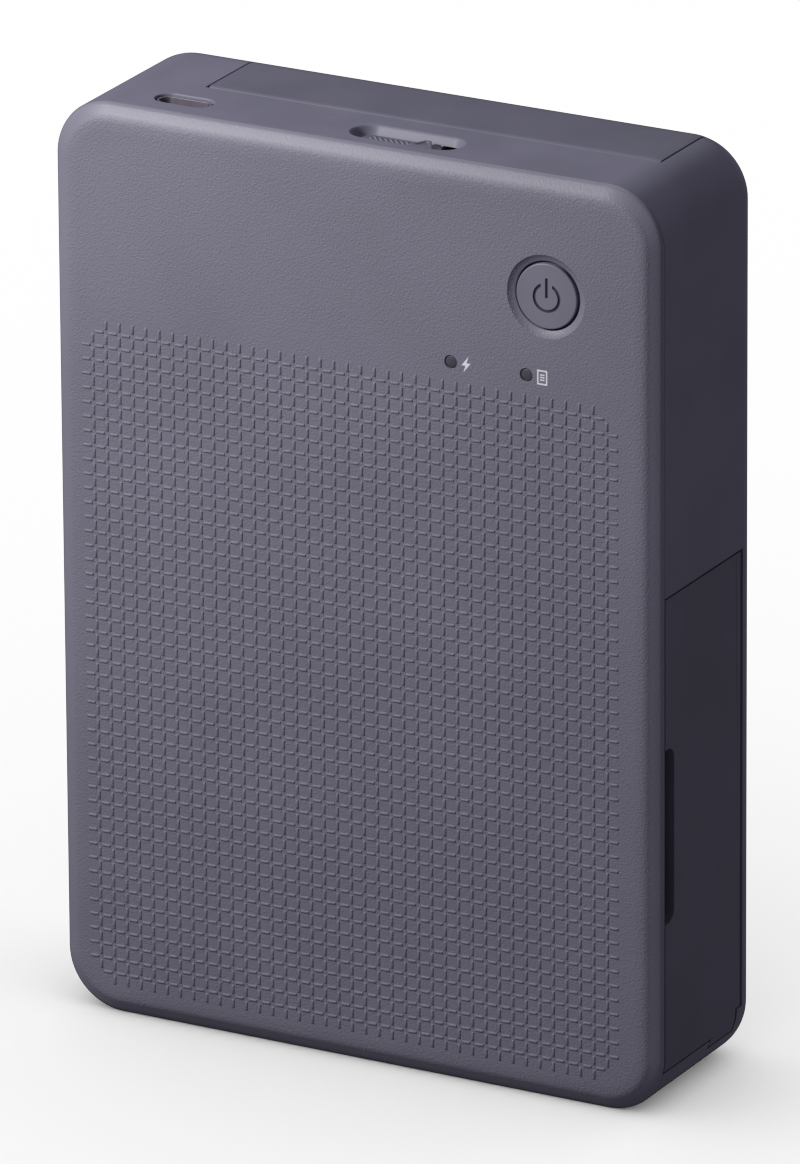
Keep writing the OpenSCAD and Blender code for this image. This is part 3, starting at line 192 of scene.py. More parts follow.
class Edit:
    """Edit mode on a piece, with nothing chosen yet."""

    def __init__(self, piece):
        self.piece = piece

    def __enter__(self):
        make_active(self.piece)
        bpy.ops.object.mode_set(mode="EDIT")
        bpy.ops.mesh.select_all(action="DESELECT")
        return self

    def __exit__(self, *rest):
        bpy.ops.object.mode_set(mode="OBJECT")

    def faces(self, test):
        bpy.ops.mesh.select_mode(type="FACE")
        mesh = bmesh.from_edit_mesh(self.piece.data)
        for face in mesh.faces:
            face.select_set(bool(test(face.calc_center_median() / MM, face.normal)))
        bmesh.update_edit_mesh(self.piece.data)

    def edges(self, test):
        bpy.ops.mesh.select_mode(type="EDGE")
        mesh = bmesh.from_edit_mesh(self.piece.data)
        for edge in mesh.edges:
            a, b = (v.co / MM for v in edge.verts)
            edge.select_set(bool(test(a, b)))
        bmesh.update_edit_mesh(self.piece.data)

    def points(self, test):
        bpy.ops.mesh.select_mode(type="VERT")
        mesh = bmesh.from_edit_mesh(self.piece.data)
        for point in mesh.verts:
            point.select_set(bool(test(point.co / MM)))
        bmesh.update_edit_mesh(self.piece.data)


def along(axis):
    """A test for edges that run along an axis."""
    others = [i for i in range(3) if i != "XYZ".index(axis)]
    return lambda a, b: all(abs(a[i] - b[i]) < 1e-3 for i in others)


def round_edges(piece, test, offset, segments=6):
    """Rounds the edges whose two ends pass the test."""
    with Edit(piece) as edit:
        edit.edges(test)
        bpy.ops.mesh.bevel(offset=MM * offset, segments=segments, profile=0.5, affect="EDGES")
    return piece


def step_in(steps):
    """Insets the chosen faces again and again by (across, along the normal), in millimetres."""
    for across, deep in steps:
        bpy.ops.mesh.inset(thickness=MM * across, depth=MM * deep, use_even_offset=True)


def quarter(across, deep, count):
    """The steps of a rounded rim, from the side wall to the end face."""
    turns = [math.pi / 2 * i / count for i in range(count + 1)]
    return [
        (across * (math.cos(a) - math.cos(b)), deep * (math.sin(b) - math.sin(a)))
        for a, b in zip(turns, turns[1:])
    ]


def eased_edge(across, deep, turns, count=5):
    """Inset and rise pairs, from outside in, of an edge whose slope changes steadily along each turn."""
    steps = []
    for length, first, last in turns:
        for i in range(count):
            slope = math.radians(first + (last - first) * (i + 0.5) / count)
            steps.append((length / count * math.cos(slope), length / count * math.sin(slope)))
    wide, high = (sum(step[k] for step in steps) for k in (0, 1))
    return [(a * across / wide, b * deep / high) for a, b in reversed(steps)]


def carve(piece, *tools, operation="DIFFERENCE"):
    """Cuts, joins or keeps only what lies in the tools, which are used up."""
    for tool in tools:
        make_active(piece)
        modifier = piece.modifiers.new("carve", "BOOLEAN")
        modifier.operation = operation
        modifier.solver = "EXACT"
        modifier.object = tool
        bpy.ops.object.modifier_apply(modifier=modifier.name)
        bpy.data.objects.remove(tool)
    return piece


def gather(piece, *others):
    """Makes several closed forms one piece."""
    make_active(piece)
    for other in others:
        other.select_set(True)
    bpy.ops.object.join()
    return piece


def twin(piece, name):
    """A second piece with a mesh of its own."""
    copy = piece.copy()
    copy.data = piece.data.copy()
    copy.name = name
    bpy.context.scene.collection.objects.link(copy)
    return copy


def shift(piece, x, y):
    """Moves the mesh, so that the object stays at the origin."""
    with Edit(piece):
        bpy.ops.mesh.select_all(action="SELECT")
        bpy.ops.transform.translate(value=(MM * x, MM * y, 0))
    return piece


def soften(piece, width=0.12, segments=3, angle=30):
    """A small radius on every sharp edge, then smooth shading."""
    make_active(piece)
    modifier = piece.modifiers.new("soften", "BEVEL")
    modifier.width = MM * width
    modifier.segments = segments
    modifier.limit_method = "ANGLE"
    modifier.angle_limit = math.radians(angle)
    modifier.use_clamp_overlap = True
    bpy.ops.object.modifier_apply(modifier=modifier.name)
    return smooth(piece)


def smooth(piece, angle=28):
    """Smooth shading that breaks at edges sharper than the angle."""
    make_active(piece)
    bpy.ops.object.shade_smooth_by_angle(angle=math.radians(angle))
    return piece


def repeat(piece, count, step):
    """A row of copies, each a step from the last."""
    make_active(piece)
    modifier = piece.modifiers.new("repeat", "ARRAY")
    modifier.count = count
    modifier.use_relative_offset = False
    modifier.use_constant_offset = True
    modifier.constant_offset_displace = [MM * s for s in step]
    bpy.ops.object.modifier_apply(modifier=modifier.name)
    return piece


def outline(name, inward, y):
    """The body's outline seen from the front, shrunk by inward, between two depths."""
    piece = block(name, (inward - HALF_W, HALF_W - inward), y, (inward, HEIGHT - inward))
    return round_edges(piece, along("Y"), CORNER - inward, 20)


def body(name, inward, front):
    """The body with its rear edge rounded."""
    piece = outline(name, inward, (front, ROUND_Y))
    with Edit(piece) as edit:
        edit.faces(lambda c, n: n.y > 0.99)
        step_in(quarter(REAR_R - inward, REAR_R - inward, 12))
    return piece


def slot_form(name, size, z, at):
    """An upright form with a stadium outline of that length and width."""
    piece = block(
        name,
        (at[0] - size[0] / 2, at[0] + size[0] / 2),
        (at[1] - size[1] / 2, at[1] + size[1] / 2),
        z,
    )
    round_edges(piece, along("Z"), size[1] / 2, 14)
    with Edit(piece):
        bpy.ops.mesh.select_all(action="SELECT")
        bpy.ops.mesh.remove_doubles(threshold=MM * 0.01)
    return piece


def sunk_form(name, size, at, steps):
    """What a dished recess in the top takes away: its outline at the surface, then down by steps."""
    piece = slot_form(name, size, (HEIGHT, HEIGHT + 1), at)
    with Edit(piece) as edit:
        edit.faces(lambda c, n: n.z < -0.99)
        step_in(steps)
    return piece


# ---------------------------------------------------------------- shader maths


class Value:
    """A shader socket that arithmetic works on."""

    def __init__(self, finish, socket):
        self.finish, self.socket = finish, socket

    def with_other(self, operation, other, swapped=False):
        pair = (other, self) if swapped else (self, other)
        return self.finish.node("Math", {"operation": operation}, {0: pair[0], 1: pair[1]})

    def __add__(self, other):
        return self.with_other("ADD", other)

    def __radd__(self, other):
        return self.with_other("ADD", other, True)

    def __sub__(self, other):
        return self.with_other("SUBTRACT", other)

    def __rsub__(self, other):
        return self.with_other("SUBTRACT", other, True)

    def __mul__(self, other):
        return self.with_other("MULTIPLY", other)

    def __rmul__(self, other):
        return self.with_other("MULTIPLY", other, True)

    def between(self, low, high):
        """0 below low, 1 above high, and a smooth rise in between."""
        settings = {"interpolation_type": "SMOOTHSTEP"}
        sockets = {"Value": self, "From Min": low, "From Max": high}
        return self.finish.node("MapRange", settings, sockets)


class Finish:
    """One finish: a material with its Principled shader."""

    def __init__(self, name, **fixed):
        self.material = bpy.data.materials.new(name)
        self.material.use_nodes = True
        self.tree = self.material.node_tree
        self.shader = next(n for n in self.tree.nodes if n.type == "BSDF_PRINCIPLED")
        for socket, value in fixed.items():
            self.put(self.shader.inputs[socket.replace("_", " ")], value)
        self.material.diffuse_color = (*fixed.get("Base_Color", (0.5, 0.5, 0.5))[:3], 1)
        self.place = self.node("TexCoord", {}, {}, "Object")

    def put(self, socket, value):
        """Links or sets a socket."""
        if isinstance(value, Value):
            self.tree.links.new(value.socket, socket)
        elif isinstance(value, tuple) and socket.type == "RGBA":
            socket.default_value = (*value[:3], 1)
        else:
            socket.default_value = value

    def node(self, kind, settings, sockets, output=0):
        """Adds a node, its settings first, and gives back one of its outputs."""
        made = self.tree.nodes.new("ShaderNode" + kind)
        for name, value in settings.items():
            setattr(made, name, value)
        for name, value in sockets.items():
            self.put(made.inputs[name], value)
        return Value(self, made.outputs[output])

    def noise(self, scale, detail=2.0, roughness=0.5, at=None):
        sockets = {"Vector": at or self.place, "Scale": scale, "Detail": detail, "Roughness": roughness}
        return self.node("TexNoise", {}, sockets)

    def cells(self, scale, feature="SMOOTH_F1"):
        return self.node("TexVoronoi", {"feature": feature}, {"Vector": self.place, "Scale": scale})

    def bands(self, axis, scale, **sockets):
        """Soft bands that follow one another along an axis."""
        sockets = {"Vector": self.place, "Scale": scale, **sockets}
        return self.node("TexWave", {"bands_direction": axis}, sockets, 1)

    def part(self, axis):
        """How far along X, Y or Z, in metres."""
        return self.node("SeparateXYZ", {}, {0: self.place}, "XYZ".index(axis))

    def stretched(self, x, y, z):
        """The place scaled by x, y and z, for grain that runs one way."""
        return self.node("Mapping", {}, {"Vector": self.place, "Scale": Vector((x, y, z))})

    def mix(self, share, first, second):
        sockets = {"Factor": share, 6: first, 7: second}
        return self.node("Mix", {"data_type": "RGBA"}, sockets, 2)

    def bump(self, height, distance):
        """Relief of that height in metres; it feeds the shader's Normal."""
        relief = self.node("Bump", {}, {"Height": height, "Distance": distance})
        self.put(self.shader.inputs["Normal"], relief)

    def colour(self, value):
        self.put(self.shader.inputs["Base Color"], value)

    def roughness(self, value):
        self.put(self.shader.inputs["Roughness"], value)


def shade(colour, by):
    """A colour made darker or lighter."""
    return tuple(min(1.0, c * by) for c in colour)


def moulded(name, colour, rough=0.5, grain=3200, depth=6e-6):
    """Moulded plastic with fine spark-erosion grain and slightly uneven sheen."""
    finish = Finish(name, Base_Color=colour, Roughness=rough, Specular_IOR_Level=0.32)
    cloud = finish.noise(70, 3)
    fine = finish.noise(grain, 2, 0.6)
    finish.colour(finish.mix(cloud.between(0.3, 0.7), shade(colour, 0.93), shade(colour, 1.07)))
    finish.roughness(rough - 0.05 + 0.1 * fine)
    finish.bump(fine, depth)
    return finish.material


def grained_cover(name, colour, marks):
    """Front cover plastic: leather-like grain on the flat face, smoother on its rounded rim."""
    finish = Finish(name, Base_Color=colour, Roughness=0.5, Specular_IOR_Level=0.26)
    flat = 1 - finish.part("Y").between(MM * (FACE + 0.1), MM * (FACE + 0.6))
    pebble = finish.cells(3300)
    crease = finish.noise(4200, 3, 0.6)
    fine = finish.noise(9000, 1)
    relief = (pebble * 0.55 + crease * 0.9) * (0.25 + 0.75 * flat) + fine * 0.12
    cloud = finish.noise(45, 3)
    finish.colour(finish.mix(cloud.between(0.3, 0.7), shade(colour, 0.96), shade(colour, 1.04)))
    finish.roughness(0.44 + 0.1 * crease * flat)
    finish.bump(relief, marks)
    return finish.material


def metal(name, colour, rough=0.32, along_axis=None, grain=900, depth=2e-6):
    """Bare or plated metal with drawn or turned marks along one axis."""
    finish = Finish(name, Base_Color=colour, Roughness=rough, Metallic=1.0)
    scale = {None: (1, 1, 1), "X": (0.03, 1, 1), "Y": (1, 0.03, 1), "Z": (1, 1, 0.03)}[along_axis]
    marks = finish.noise(grain, 3, 0.6, finish.stretched(*scale))
    cloud = finish.noise(60, 2)
    finish.colour(finish.mix(cloud.between(0.35, 0.7), shade(colour, 0.88), shade(colour, 1.05)))
    finish.roughness(rough - 0.1 + 0.22 * marks)
    finish.bump(marks, depth)
    return finish.material


def rubber(name, colour):
    finish = Finish(name, Base_Color=colour, Roughness=0.72)
    grain = finish.noise(2200, 3, 0.7)
    dust = finish.noise(120, 4)
    finish.colour(finish.mix(dust.between(0.45, 0.8), colour, shade(colour, 1.7)))
    finish.roughness(0.66 + 0.16 * grain)
    finish.bump(grain, 1.2e-5)
    return finish.material


def circuit_board(name):
    """Solder mask over copper runs, with rows of pads."""
    finish = Finish(name, Base_Color=(0.01, 0.11, 0.05), Roughness=0.35, Coat_Weight=0.3)
    across = finish.bands("X", 190.0, **{"Distortion": 3.0, "Detail Scale": 0.6})
    upward = finish.bands("Z", 150.0, **{"Distortion": 4.0, "Detail Scale": 0.5})
    area = finish.cells(60, feature="F1").between(0.3, 0.32)
    runs = across.between(0.72, 0.8) * area + upward.between(0.72, 0.8) * (1 - area)
    pads = 1 - finish.cells(420, feature="F1").between(0.16, 0.2)
    pads = pads * finish.noise(150, 1).between(0.55, 0.58)
    base = finish.mix(runs, (0.006, 0.075, 0.032), (0.02, 0.17, 0.08))
    finish.colour(finish.mix(pads, base, (0.62, 0.6, 0.55)))
    finish.bump(runs * 0.6 + pads, 3e-5)
    return finish.material


def film(name, colour, second, band):
    """Thin dyed film with bands of colour up its length."""
    finish = Finish(name, Base_Color=colour, Roughness=0.18, Coat_Weight=0.4)
    wave = finish.bands("Z", band)
    crumple = finish.noise(300, 2, 0.5, finish.stretched(0.15, 1, 1))
    finish.colour(finish.mix(wave.between(0.4, 0.6), colour, second))
    finish.roughness(0.12 + 0.14 * crumple)
    finish.bump(crumple, 1.5e-5)
    return finish.material


def wound_film(name, colour, second):
    """Film wound on a spool: fine rings on its ends and faint lines along it."""
    finish = Finish(name, Base_Color=colour, Roughness=0.22, Coat_Weight=0.3)
    lines = finish.noise(500, 2, 0.5, finish.stretched(0.02, 1, 1))
    rings = finish.noise(2600, 1)
    finish.colour(finish.mix(lines.between(0.35, 0.65), colour, second))
    finish.roughness(0.16 + 0.18 * rings)
    finish.bump(lines, 1e-5)
    return finish.material


def paper(name):
    """A stack of sheets: its edges show fine lines."""
    finish = Finish(name, Base_Color=(0.88, 0.88, 0.86), Roughness=0.42)
    layers = finish.noise(9000, 1, 0.5, finish.stretched(0.02, 1, 0.02))
    finish.colour(finish.mix(layers.between(0.3, 0.7), (0.78, 0.77, 0.73), (0.9, 0.9, 0.88)))
    finish.roughness(0.38 + 0.12 * layers)
    finish.bump(layers, 1e-5)
    return finish.material


def flat_cable(name):
    """Flat film cable with its conductors showing through."""
    finish = Finish(name, Base_Color=(0.72, 0.66, 0.5), Roughness=0.3, Coat_Weight=0.3)
    strip = finish.bands("X", 160.0)
    shine = finish.noise(200, 2)
    finish.colour(finish.mix(strip.between(0.45, 0.55), (0.8, 0.79, 0.74), (0.5, 0.4, 0.24)))
    finish.roughness(0.24 + 0.14 * shine)
    finish.bump(strip, 1e-5)
    return finish.material


def wrapped_battery(name):
    """Shrink film over two cells, with soft wrinkles near its ends."""
    finish = Finish(name, Base_Color=(0.012, 0.05, 0.13), Roughness=0.25, Coat_Weight=0.5)
    wrinkle = finish.noise(160, 4, 0.6, finish.stretched(1, 1, 0.35))
    height = finish.part("Z")
    ends = height.between(MM * 60, MM * 66) + (1 - height.between(MM * 7, MM * 12))
    finish.colour(finish.mix(wrinkle.between(0.35, 0.7), (0.01, 0.04, 0.11), (0.02, 0.07, 0.17)))
    finish.roughness(0.2 + 0.16 * wrinkle)
    finish.bump(wrinkle * (0.25 + ends), 1.2e-4)
    return finish.material


def lens(name, colour, rough=0.12):
    """Clear or smoked moulding with a faint haze."""
    finish = Finish(name, Base_Color=colour, Roughness=rough, Coat_Weight=0.1)
    haze = finish.noise(1500, 2)
    finish.colour(finish.mix(haze.between(0.3, 0.8), colour, shade(colour, 1.3)))
    finish.roughness(rough + 0.1 * haze)
    return finish.material


COVER_GREY = (0.156, 0.152, 0.194)
HOUSING_GREY = (0.128, 0.1255, 0.173)

# One finish for each material slot of the solids
finishes = {
    "cover_plastic": grained_cover("cover_plastic", COVER_GREY, 1.15e-4),
    "housing_plastic": moulded("housing_plastic", HOUSING_GREY, 0.5, 5200, 5e-6),
    "slider_plastic": moulded("slider_plastic", shade(HOUSING_GREY, 0.8), 0.45, 4200, 5e-6),
    "latch_plastic": moulded("latch_plastic", (0.035, 0.035, 0.042), 0.5),
    "dark_lens": lens("dark_lens", (0.045, 0.044, 0.06), 0.38),
    "sheet_steel": metal("sheet_steel", (0.62, 0.63, 0.63), 0.36, "Z"),
    "shaft_steel": metal("shaft_steel", (0.68, 0.68, 0.69), 0.22, "X"),
    "feed_steel": metal("feed_steel", (0.52, 0.52, 0.53), 0.48, None, 2600, 1.5e-5),
    "spring_steel": metal("spring_steel", (0.5, 0.5, 0.52), 0.28),
    "screw_steel": metal("screw_steel", (0.62, 0.62, 0.63), 0.3),
    "motor_steel": metal("motor_steel", (0.55, 0.56, 0.57), 0.3, "X"),
    "socket_metal": metal("socket_metal", (0.28, 0.255, 0.31), 0.5, "Z"),
    "pinion_brass": metal("pinion_brass", (0.76, 0.56, 0.24), 0.26, "X"),
    "heat_sink_aluminium": metal("heat_sink_aluminium", (0.72, 0.73, 0.74), 0.38, "X"),
    "strip_ceramic": lens("strip_ceramic", (0.5, 0.48, 0.43)),
    "circuit_board": circuit_board("circuit_board"),
    "component_black": moulded("component_black", (0.022, 0.022, 0.025), 0.55, 3000, 8e-6),
    "led_white": lens("led_white", (0.6, 0.6, 0.52)),
    "battery_wrap": wrapped_battery("battery_wrap"),
    "bush_plastic": moulded("bush_plastic", (0.62, 0.56, 0.42), 0.45),
    "gear_plastic": moulded("gear_plastic", (0.72, 0.71, 0.65), 0.4, 2600, 5e-6),
    "cassette_plastic": moulded("cassette_plastic", (0.03, 0.032, 0.037), 0.48, 2600, 1e-5),
    "spool_plastic": wound_film("spool_plastic", (0.1, 0.02, 0.05), (0.05, 0.015, 0.03)),
    "ribbon_film": film("ribbon_film", (0.3, 0.02, 0.1), (0.35, 0.26, 0.02), 8.0),
    "photo_paper": paper("photo_paper"),
    "flex_cable": flat_cable("flex_cable"),
    "roller_rubber": rubber("roller_rubber", (0.022, 0.022, 0.024)),
    "foot_rubber": rubber("foot_rubber", (0.02, 0.02, 0.022)),
}

# Finishes of single pieces, in place of their slot's own
# The rear cover is the housing's plastic made darker: painted shade, for the shade that falls on it. The
# real cover is the same plastic as the housing.
rear_cover_painted_shade = moulded("rear_cover_plastic_painted_shade", shade(HOUSING_GREY, 0.78), 0.52, 5200, 5e-6)
# The side flap is the housing's plastic made darker: painted shade, for the shade that falls lower down
# the right side.
flap_painted_shade = moulded("flap_plastic_painted_shade", shade(HOUSING_GREY, 0.76), 0.54, 5200, 5e-6)
button_plastic = moulded("button_plastic", shade(COVER_GREY, 0.97), 0.46, 6000, 6e-6)
print_white = moulded("print_white", (0.62, 0.62, 0.66), 0.6, 4000, 2e-6)
symbol_ink = moulded("symbol_ink", (0.03, 0.03, 0.045), 0.6, 4000, 2e-6)
contact_gold = metal("contact_gold", (0.55, 0.43, 0.26), 0.3, "Z")


def dress(piece, slot, body_name, *nodes, material=None):
    """Gives a finished piece its finish, its body and the nodes that it stands for."""
    make_active(piece)
    modifier = piece.modifiers.new("flat_stays_flat", "WEIGHTED_NORMAL")
    modifier.keep_sharp = True
    bpy.ops.object.modifier_apply(modifier=modifier.name)
    piece.data.materials.clear()
    piece.data.materials.append(material or finishes[slot])
    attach(piece, body_name)
    if nodes:
        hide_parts(*nodes)
    return piece


# ---------------------------------------------------------------- front cover


def make_front_cover():
    """The cover with its rim, its lip into the housing, the lens holes and the dish round the button."""
    straight, lip, lip_wide = 0.1, 1.55, 1.2
    cover = outline("cover_face", COVER_INSET, (SKIRT - straight, SKIRT))
    with Edit(cover) as edit:
        edit.faces(lambda c, n: n.y < -0.99)
        step_in(eased_edge(RIM_ACROSS, SKIRT - straight - FACE, RIM_TURNS))
    with Edit(cover) as edit:
        edit.faces(lambda c, n: n.y > 0.99)
        step_in([(WALL + 0.2, 0), (1e-4, lip), (lip_wide, 0), (1e-4, PARTING - SKIRT - lip)])
    for place in LENSES:
        carve(cover, rod("hole", LENS_HOLE_R, (FACE - 1, PARTING + 1), "Y", place, 40))
    # The dish's radius and depth below the face, from the hole outwards, then out past the face
    dish = [(HOLE_R, 0.6), (5.7, 0.49), (5.95, 0.37), (6.2, 0.22), (6.45, 0.03)]
    dish += [(DISH_R, -0.04), (DISH_R, -1)]
    through = rod("through", HOLE_R, (FACE + dish[0][1], PARTING + 1), "Y", BUTTON, 96)
    with Edit(through) as edit:
        edit.faces(lambda c, n: n.y < -0.99)
        centre = (MM * BUTTON[0], 0, MM * BUTTON[1])
        for (was, y), (radius, next_y) in zip(dish, dish[1:]):
            rise = {"value": (0, MM * (next_y - y), 0)}
            bpy.ops.mesh.extrude_region_move(TRANSFORM_OT_translate=rise)
            widen = radius / was
            bpy.ops.transform.resize(value=(widen, 1, widen), center_override=centre)
    carve(cover, through)
    bore = DISH_R - 0.005
    ring = rod("ring", bore + 1, (PARTING - 0.3, PARTING + 1.2), "Y", BUTTON, 64)
    carve(ring, rod("bore", bore, (PARTING - 1, PARTING + 2), "Y", BUTTON, 64))
    gather(cover, ring)
    soften(cover, 0.08, 2, 32)
    dress(cover, "cover_plastic", "housing", "front_cover")


def make_ribs():
    """The face pattern: short raised ribs both ways on a square grid, without its four corner ribs."""
    base = (FACE, FACE + 0.08)
    rounding = [(0.1, 0.09), (0.07, 0.06), (0.06, 0.04)]
    # Name, first x and columns, first z and rows, width and height of one rib
    kinds = (
        ("face_ribs_upright", -44.5, 39, 5.6, 47, RIB_WIDTH, RIB_LENGTH),
        ("face_ribs_level", -45.65, 40, 6.75, 46, RIB_LENGTH, RIB_WIDTH),
    )
    for name, x0, columns, z0, rows, wide, high in kinds:
        rib = block(name, (x0 - wide / 2, x0 + wide / 2), base, (z0 - high / 2, z0 + high / 2))
        with Edit(rib) as edit:
            edit.faces(lambda c, n: n.y < -0.99)
            step_in(rounding)
        repeat(rib, columns, (RIB_PITCH, 0, 0))
        repeat(rib, rows, (0, 0, RIB_PITCH))
        x1, z1 = x0 + (columns - 1) * RIB_PITCH, z0 + (rows - 1) * RIB_PITCH
        near = RIB_PITCH / 2
        with Edit(rib) as edit:
            edit.points(
                lambda p: min(abs(p.x - x0), abs(p.x - x1)) < near
                and min(abs(p.z - z0), abs(p.z - z1)) < near
            )
            bpy.ops.mesh.delete(type="VERT")
        smooth(rib, 50)
        dress(rib, "cover_plastic", "housing")


def make_marks():
    """Printed signs beside the indicators: a bolt for charging and a sheet for the print state."""
    y = (FACE - 0.025, FACE + 0.02)
    inside_y = (FACE - 1, FACE + 1)
    x, z = LENSES[0][0] + 2.6, LENSES[0][1]
    bolt = [(0.45, 1.3), (-0.75, -0.2), (-0.08, -0.2), (-0.45, -1.3), (0.75, 0.2), (0.08, 0.2)]
    charge = plate("mark_charge", [(x + a, z + b) for a, b in bolt], y)
    dress(charge, "led_white", "housing", material=print_white)
    x, z = LENSES[1][0] + 2.7, LENSES[1][1]
    sheet = block("mark_print", (x - 0.85, x + 0.85), y, (z - 1.15, z + 1.15))
    carve(sheet, block("inside", (x - 0.62, x + 0.62), inside_y, (z - 0.92, z + 0.92)))
    heights = (z - 0.4, z, z + 0.4)
    gather(sheet, *[block("line", (x - 0.38, x + 0.38), y, (h - 0.1, h + 0.1)) for h in heights])
    dress(sheet, "led_white", "housing", material=print_white)


def make_button():
    """The cap with its engraved power sign, inked at the bottom, on a flange behind the cover."""
    top, engraved, stroke_wide = BUTTON_TOP, 0.2, 0.46
    x, z = BUTTON
    cap = rod("button_cap", BUTTON_R, (top, -14.5), "Y", BUTTON, 96)
    round_edges(cap, lambda a, b: max(a.y, b.y) < top + 0.001, 0.22, 4)
    sign_at, sign_r = (x, z - 0.25), 2.3
    sign = rod("sign", sign_r, (top - 1, top + engraved), "Y", sign_at, 64)
    carve(
        sign,
        rod("inner", sign_r - stroke_wide, (top - 2, top + 1), "Y", sign_at, 64),
        block("opening", (x - 0.95, x + 0.95), (top - 2, top + 1), (z - 0.2, z + 3)),
    )
    half = stroke_wide / 2
    stroke = block("stroke", (x - half, x + half), (top - 1, top + engraved), (z - 0.3, z + 2.8))
    carve(cap, sign, stroke)
    flange = rod("flange", 6.295, (-14.55, -13.95), "Y", BUTTON, 64)
    stem = rod("stem", 1.6, (-14.05, -13.98), "Y", BUTTON, 32)
    gather(cap, flange, stem)
    soften(cap, 0.04, 2, 40)
    dress(cap, "cover_plastic", "power_button", "power_button", material=button_plastic)
    cap.data.materials.append(symbol_ink)
    for face in cap.data.polygons:
        centre = face.center / MM
        near = math.hypot(centre.x - x, centre.z - z) < 3
        if near and top + 0.14 < centre.y < top + 0.3:
            face.material_index = 1


def make_lenses():
    """Two domed light guides, each with a collar behind the cover."""
    pieces = []
    for i, place in enumerate(LENSES):
        glass = rod(f"lens_{i}", LENS_R, (FACE + 0.22, -12.7), "Y", place, 40)
        with Edit(glass) as edit:
            edit.faces(lambda c, n: n.y < -0.99)
            step_in(quarter(LENS_R - 0.05, 0.14, 6))
        collar = rod("collar", 1.55, (-14.8, -14.25), "Y", place, 40)
        pieces += [glass, collar]
    guides = gather(*pieces)
    guides.name = "lens_pair"
    smooth(guides)
    dress(guides, "dark_lens", "housing", "light_guides")


# ---------------------------------------------------------------- housing, rear cover and flap


def body_wall(name):
    """The body's wall behind the front cover: its outer form less its inner one."""
    return carve(body(name, 0, HOUSING), body("hollow", WALL, HOUSING - 1))


def hinge_bar(name, radius, x):
    """A round form on the rear cover's hinge axis."""
    return rod(name, radius, x, "X", HINGE, 64)


def flap_space():
    """The boxes that hold the side flap, with a gap round it."""
    rear, top = FLAP_REAR + 2 * GAP, FLAP_Z[1] + GAP
    return [
        block("space", FLAP_X, (HOUSING - 1, rear), (FLAP_Z[0] - GAP, top)),
        block("space", FLAP_X, (STEP_Y - GAP, rear), (STEP_LOW - GAP, top)),
        block("space", FLAP_X, (7.8, ROUND_Y + 0.12), (PIN_LOW - GAP, top)),
    ]


def make_housing():
    """The band between the covers, with its bays, its recesses and what stands inside it."""
    housing = body_wall("mid_housing_shell")
    carve(
        housing,
        block("top_bay", BAY_X, (SLIT_Y, BEYOND), (TAB_LOW, ABOVE)),
        block("rear_bay", BAY_X, (ROUND_Y, BEYOND), (BELOW, ABOVE)),
        hinge_bar("hinge_room", REAR_R + GAP, BAY_X),
        *flap_space(),
    )
    recess_floor = block("recess_floor", (-6, 17), (SWITCH_Y - 3.5, SWITCH_Y + 3.5), (143.0, 144.5))
    carve(housing, recess_floor, operation="UNION")
    dish = [(0.1, 0.03), (0.12, 0.09), (0.16, 0.23), (0.18, 0.35), (0.2, 0.4), (0.29, 0.4), (1e-3, 5)]
    dent = sunk_form("dent", (RECESS[1] - RECESS[0], 6.6), (sum(RECESS) / 2, SWITCH_Y), dish)
    hole = sunk_form("hole", (9.8, 4.6), SOCKET, [(0.07, 0.06), (0.06, 0.14), (0.02, 0.3), (1e-3, 5)])
    travel = block("travel", (10.2, 14.3), (SWITCH_Y - 2.1, SWITCH_Y + 3.6), (142, 144.45))
    carve(housing, dent, hole, travel)
    soften(housing, 0.14, 3, 32)
    inner = []
    ear_wide = 1.5
    for x in (BAY_X[0] - ear_wide, BAY_X[1]):
        ear = hinge_bar("ear", 3, (x, x + ear_wide))
        foot = block("foot", (x, x + ear_wide), (ROUND_Y - 3, ROUND_Y + 3), (1, HINGE[1]))
        carve(ear, foot, operation="UNION")
        carve(ear, hinge_bar("bore", 1.02, (x - 1, x + 3)))
        inner.append(soften(ear, 0.1, 2))
    for x, z in ((-36.2, 73), (-36.2, 113), (46.6, 73), (46.6, 113)):
        pad = rod("pad", 2.2, (12.3, 14.6), "Y", (x, z), 32)
        inner.append(smooth(carve(pad, rod("bore", 1.02, (11, 16), "Y", (x, z), 32))))
    for x, low in ((-20, 139.7), (23, 138.4)):
        inner.append(block("hook", (x, x + 1.6), (-5.2, -4.0), (low, 144.3)))
        inner.append(block("hook_shelf", (x, x + 1.6), (-7.2, -5.1), (low, 140.9)))
    inner.append(block("battery_rest", (-44.5, -36.0), (-8, 8), (0.9, 5.7)))
    gather(housing, *inner)
    dress(housing, "housing_plastic", "housing", "mid_housing")


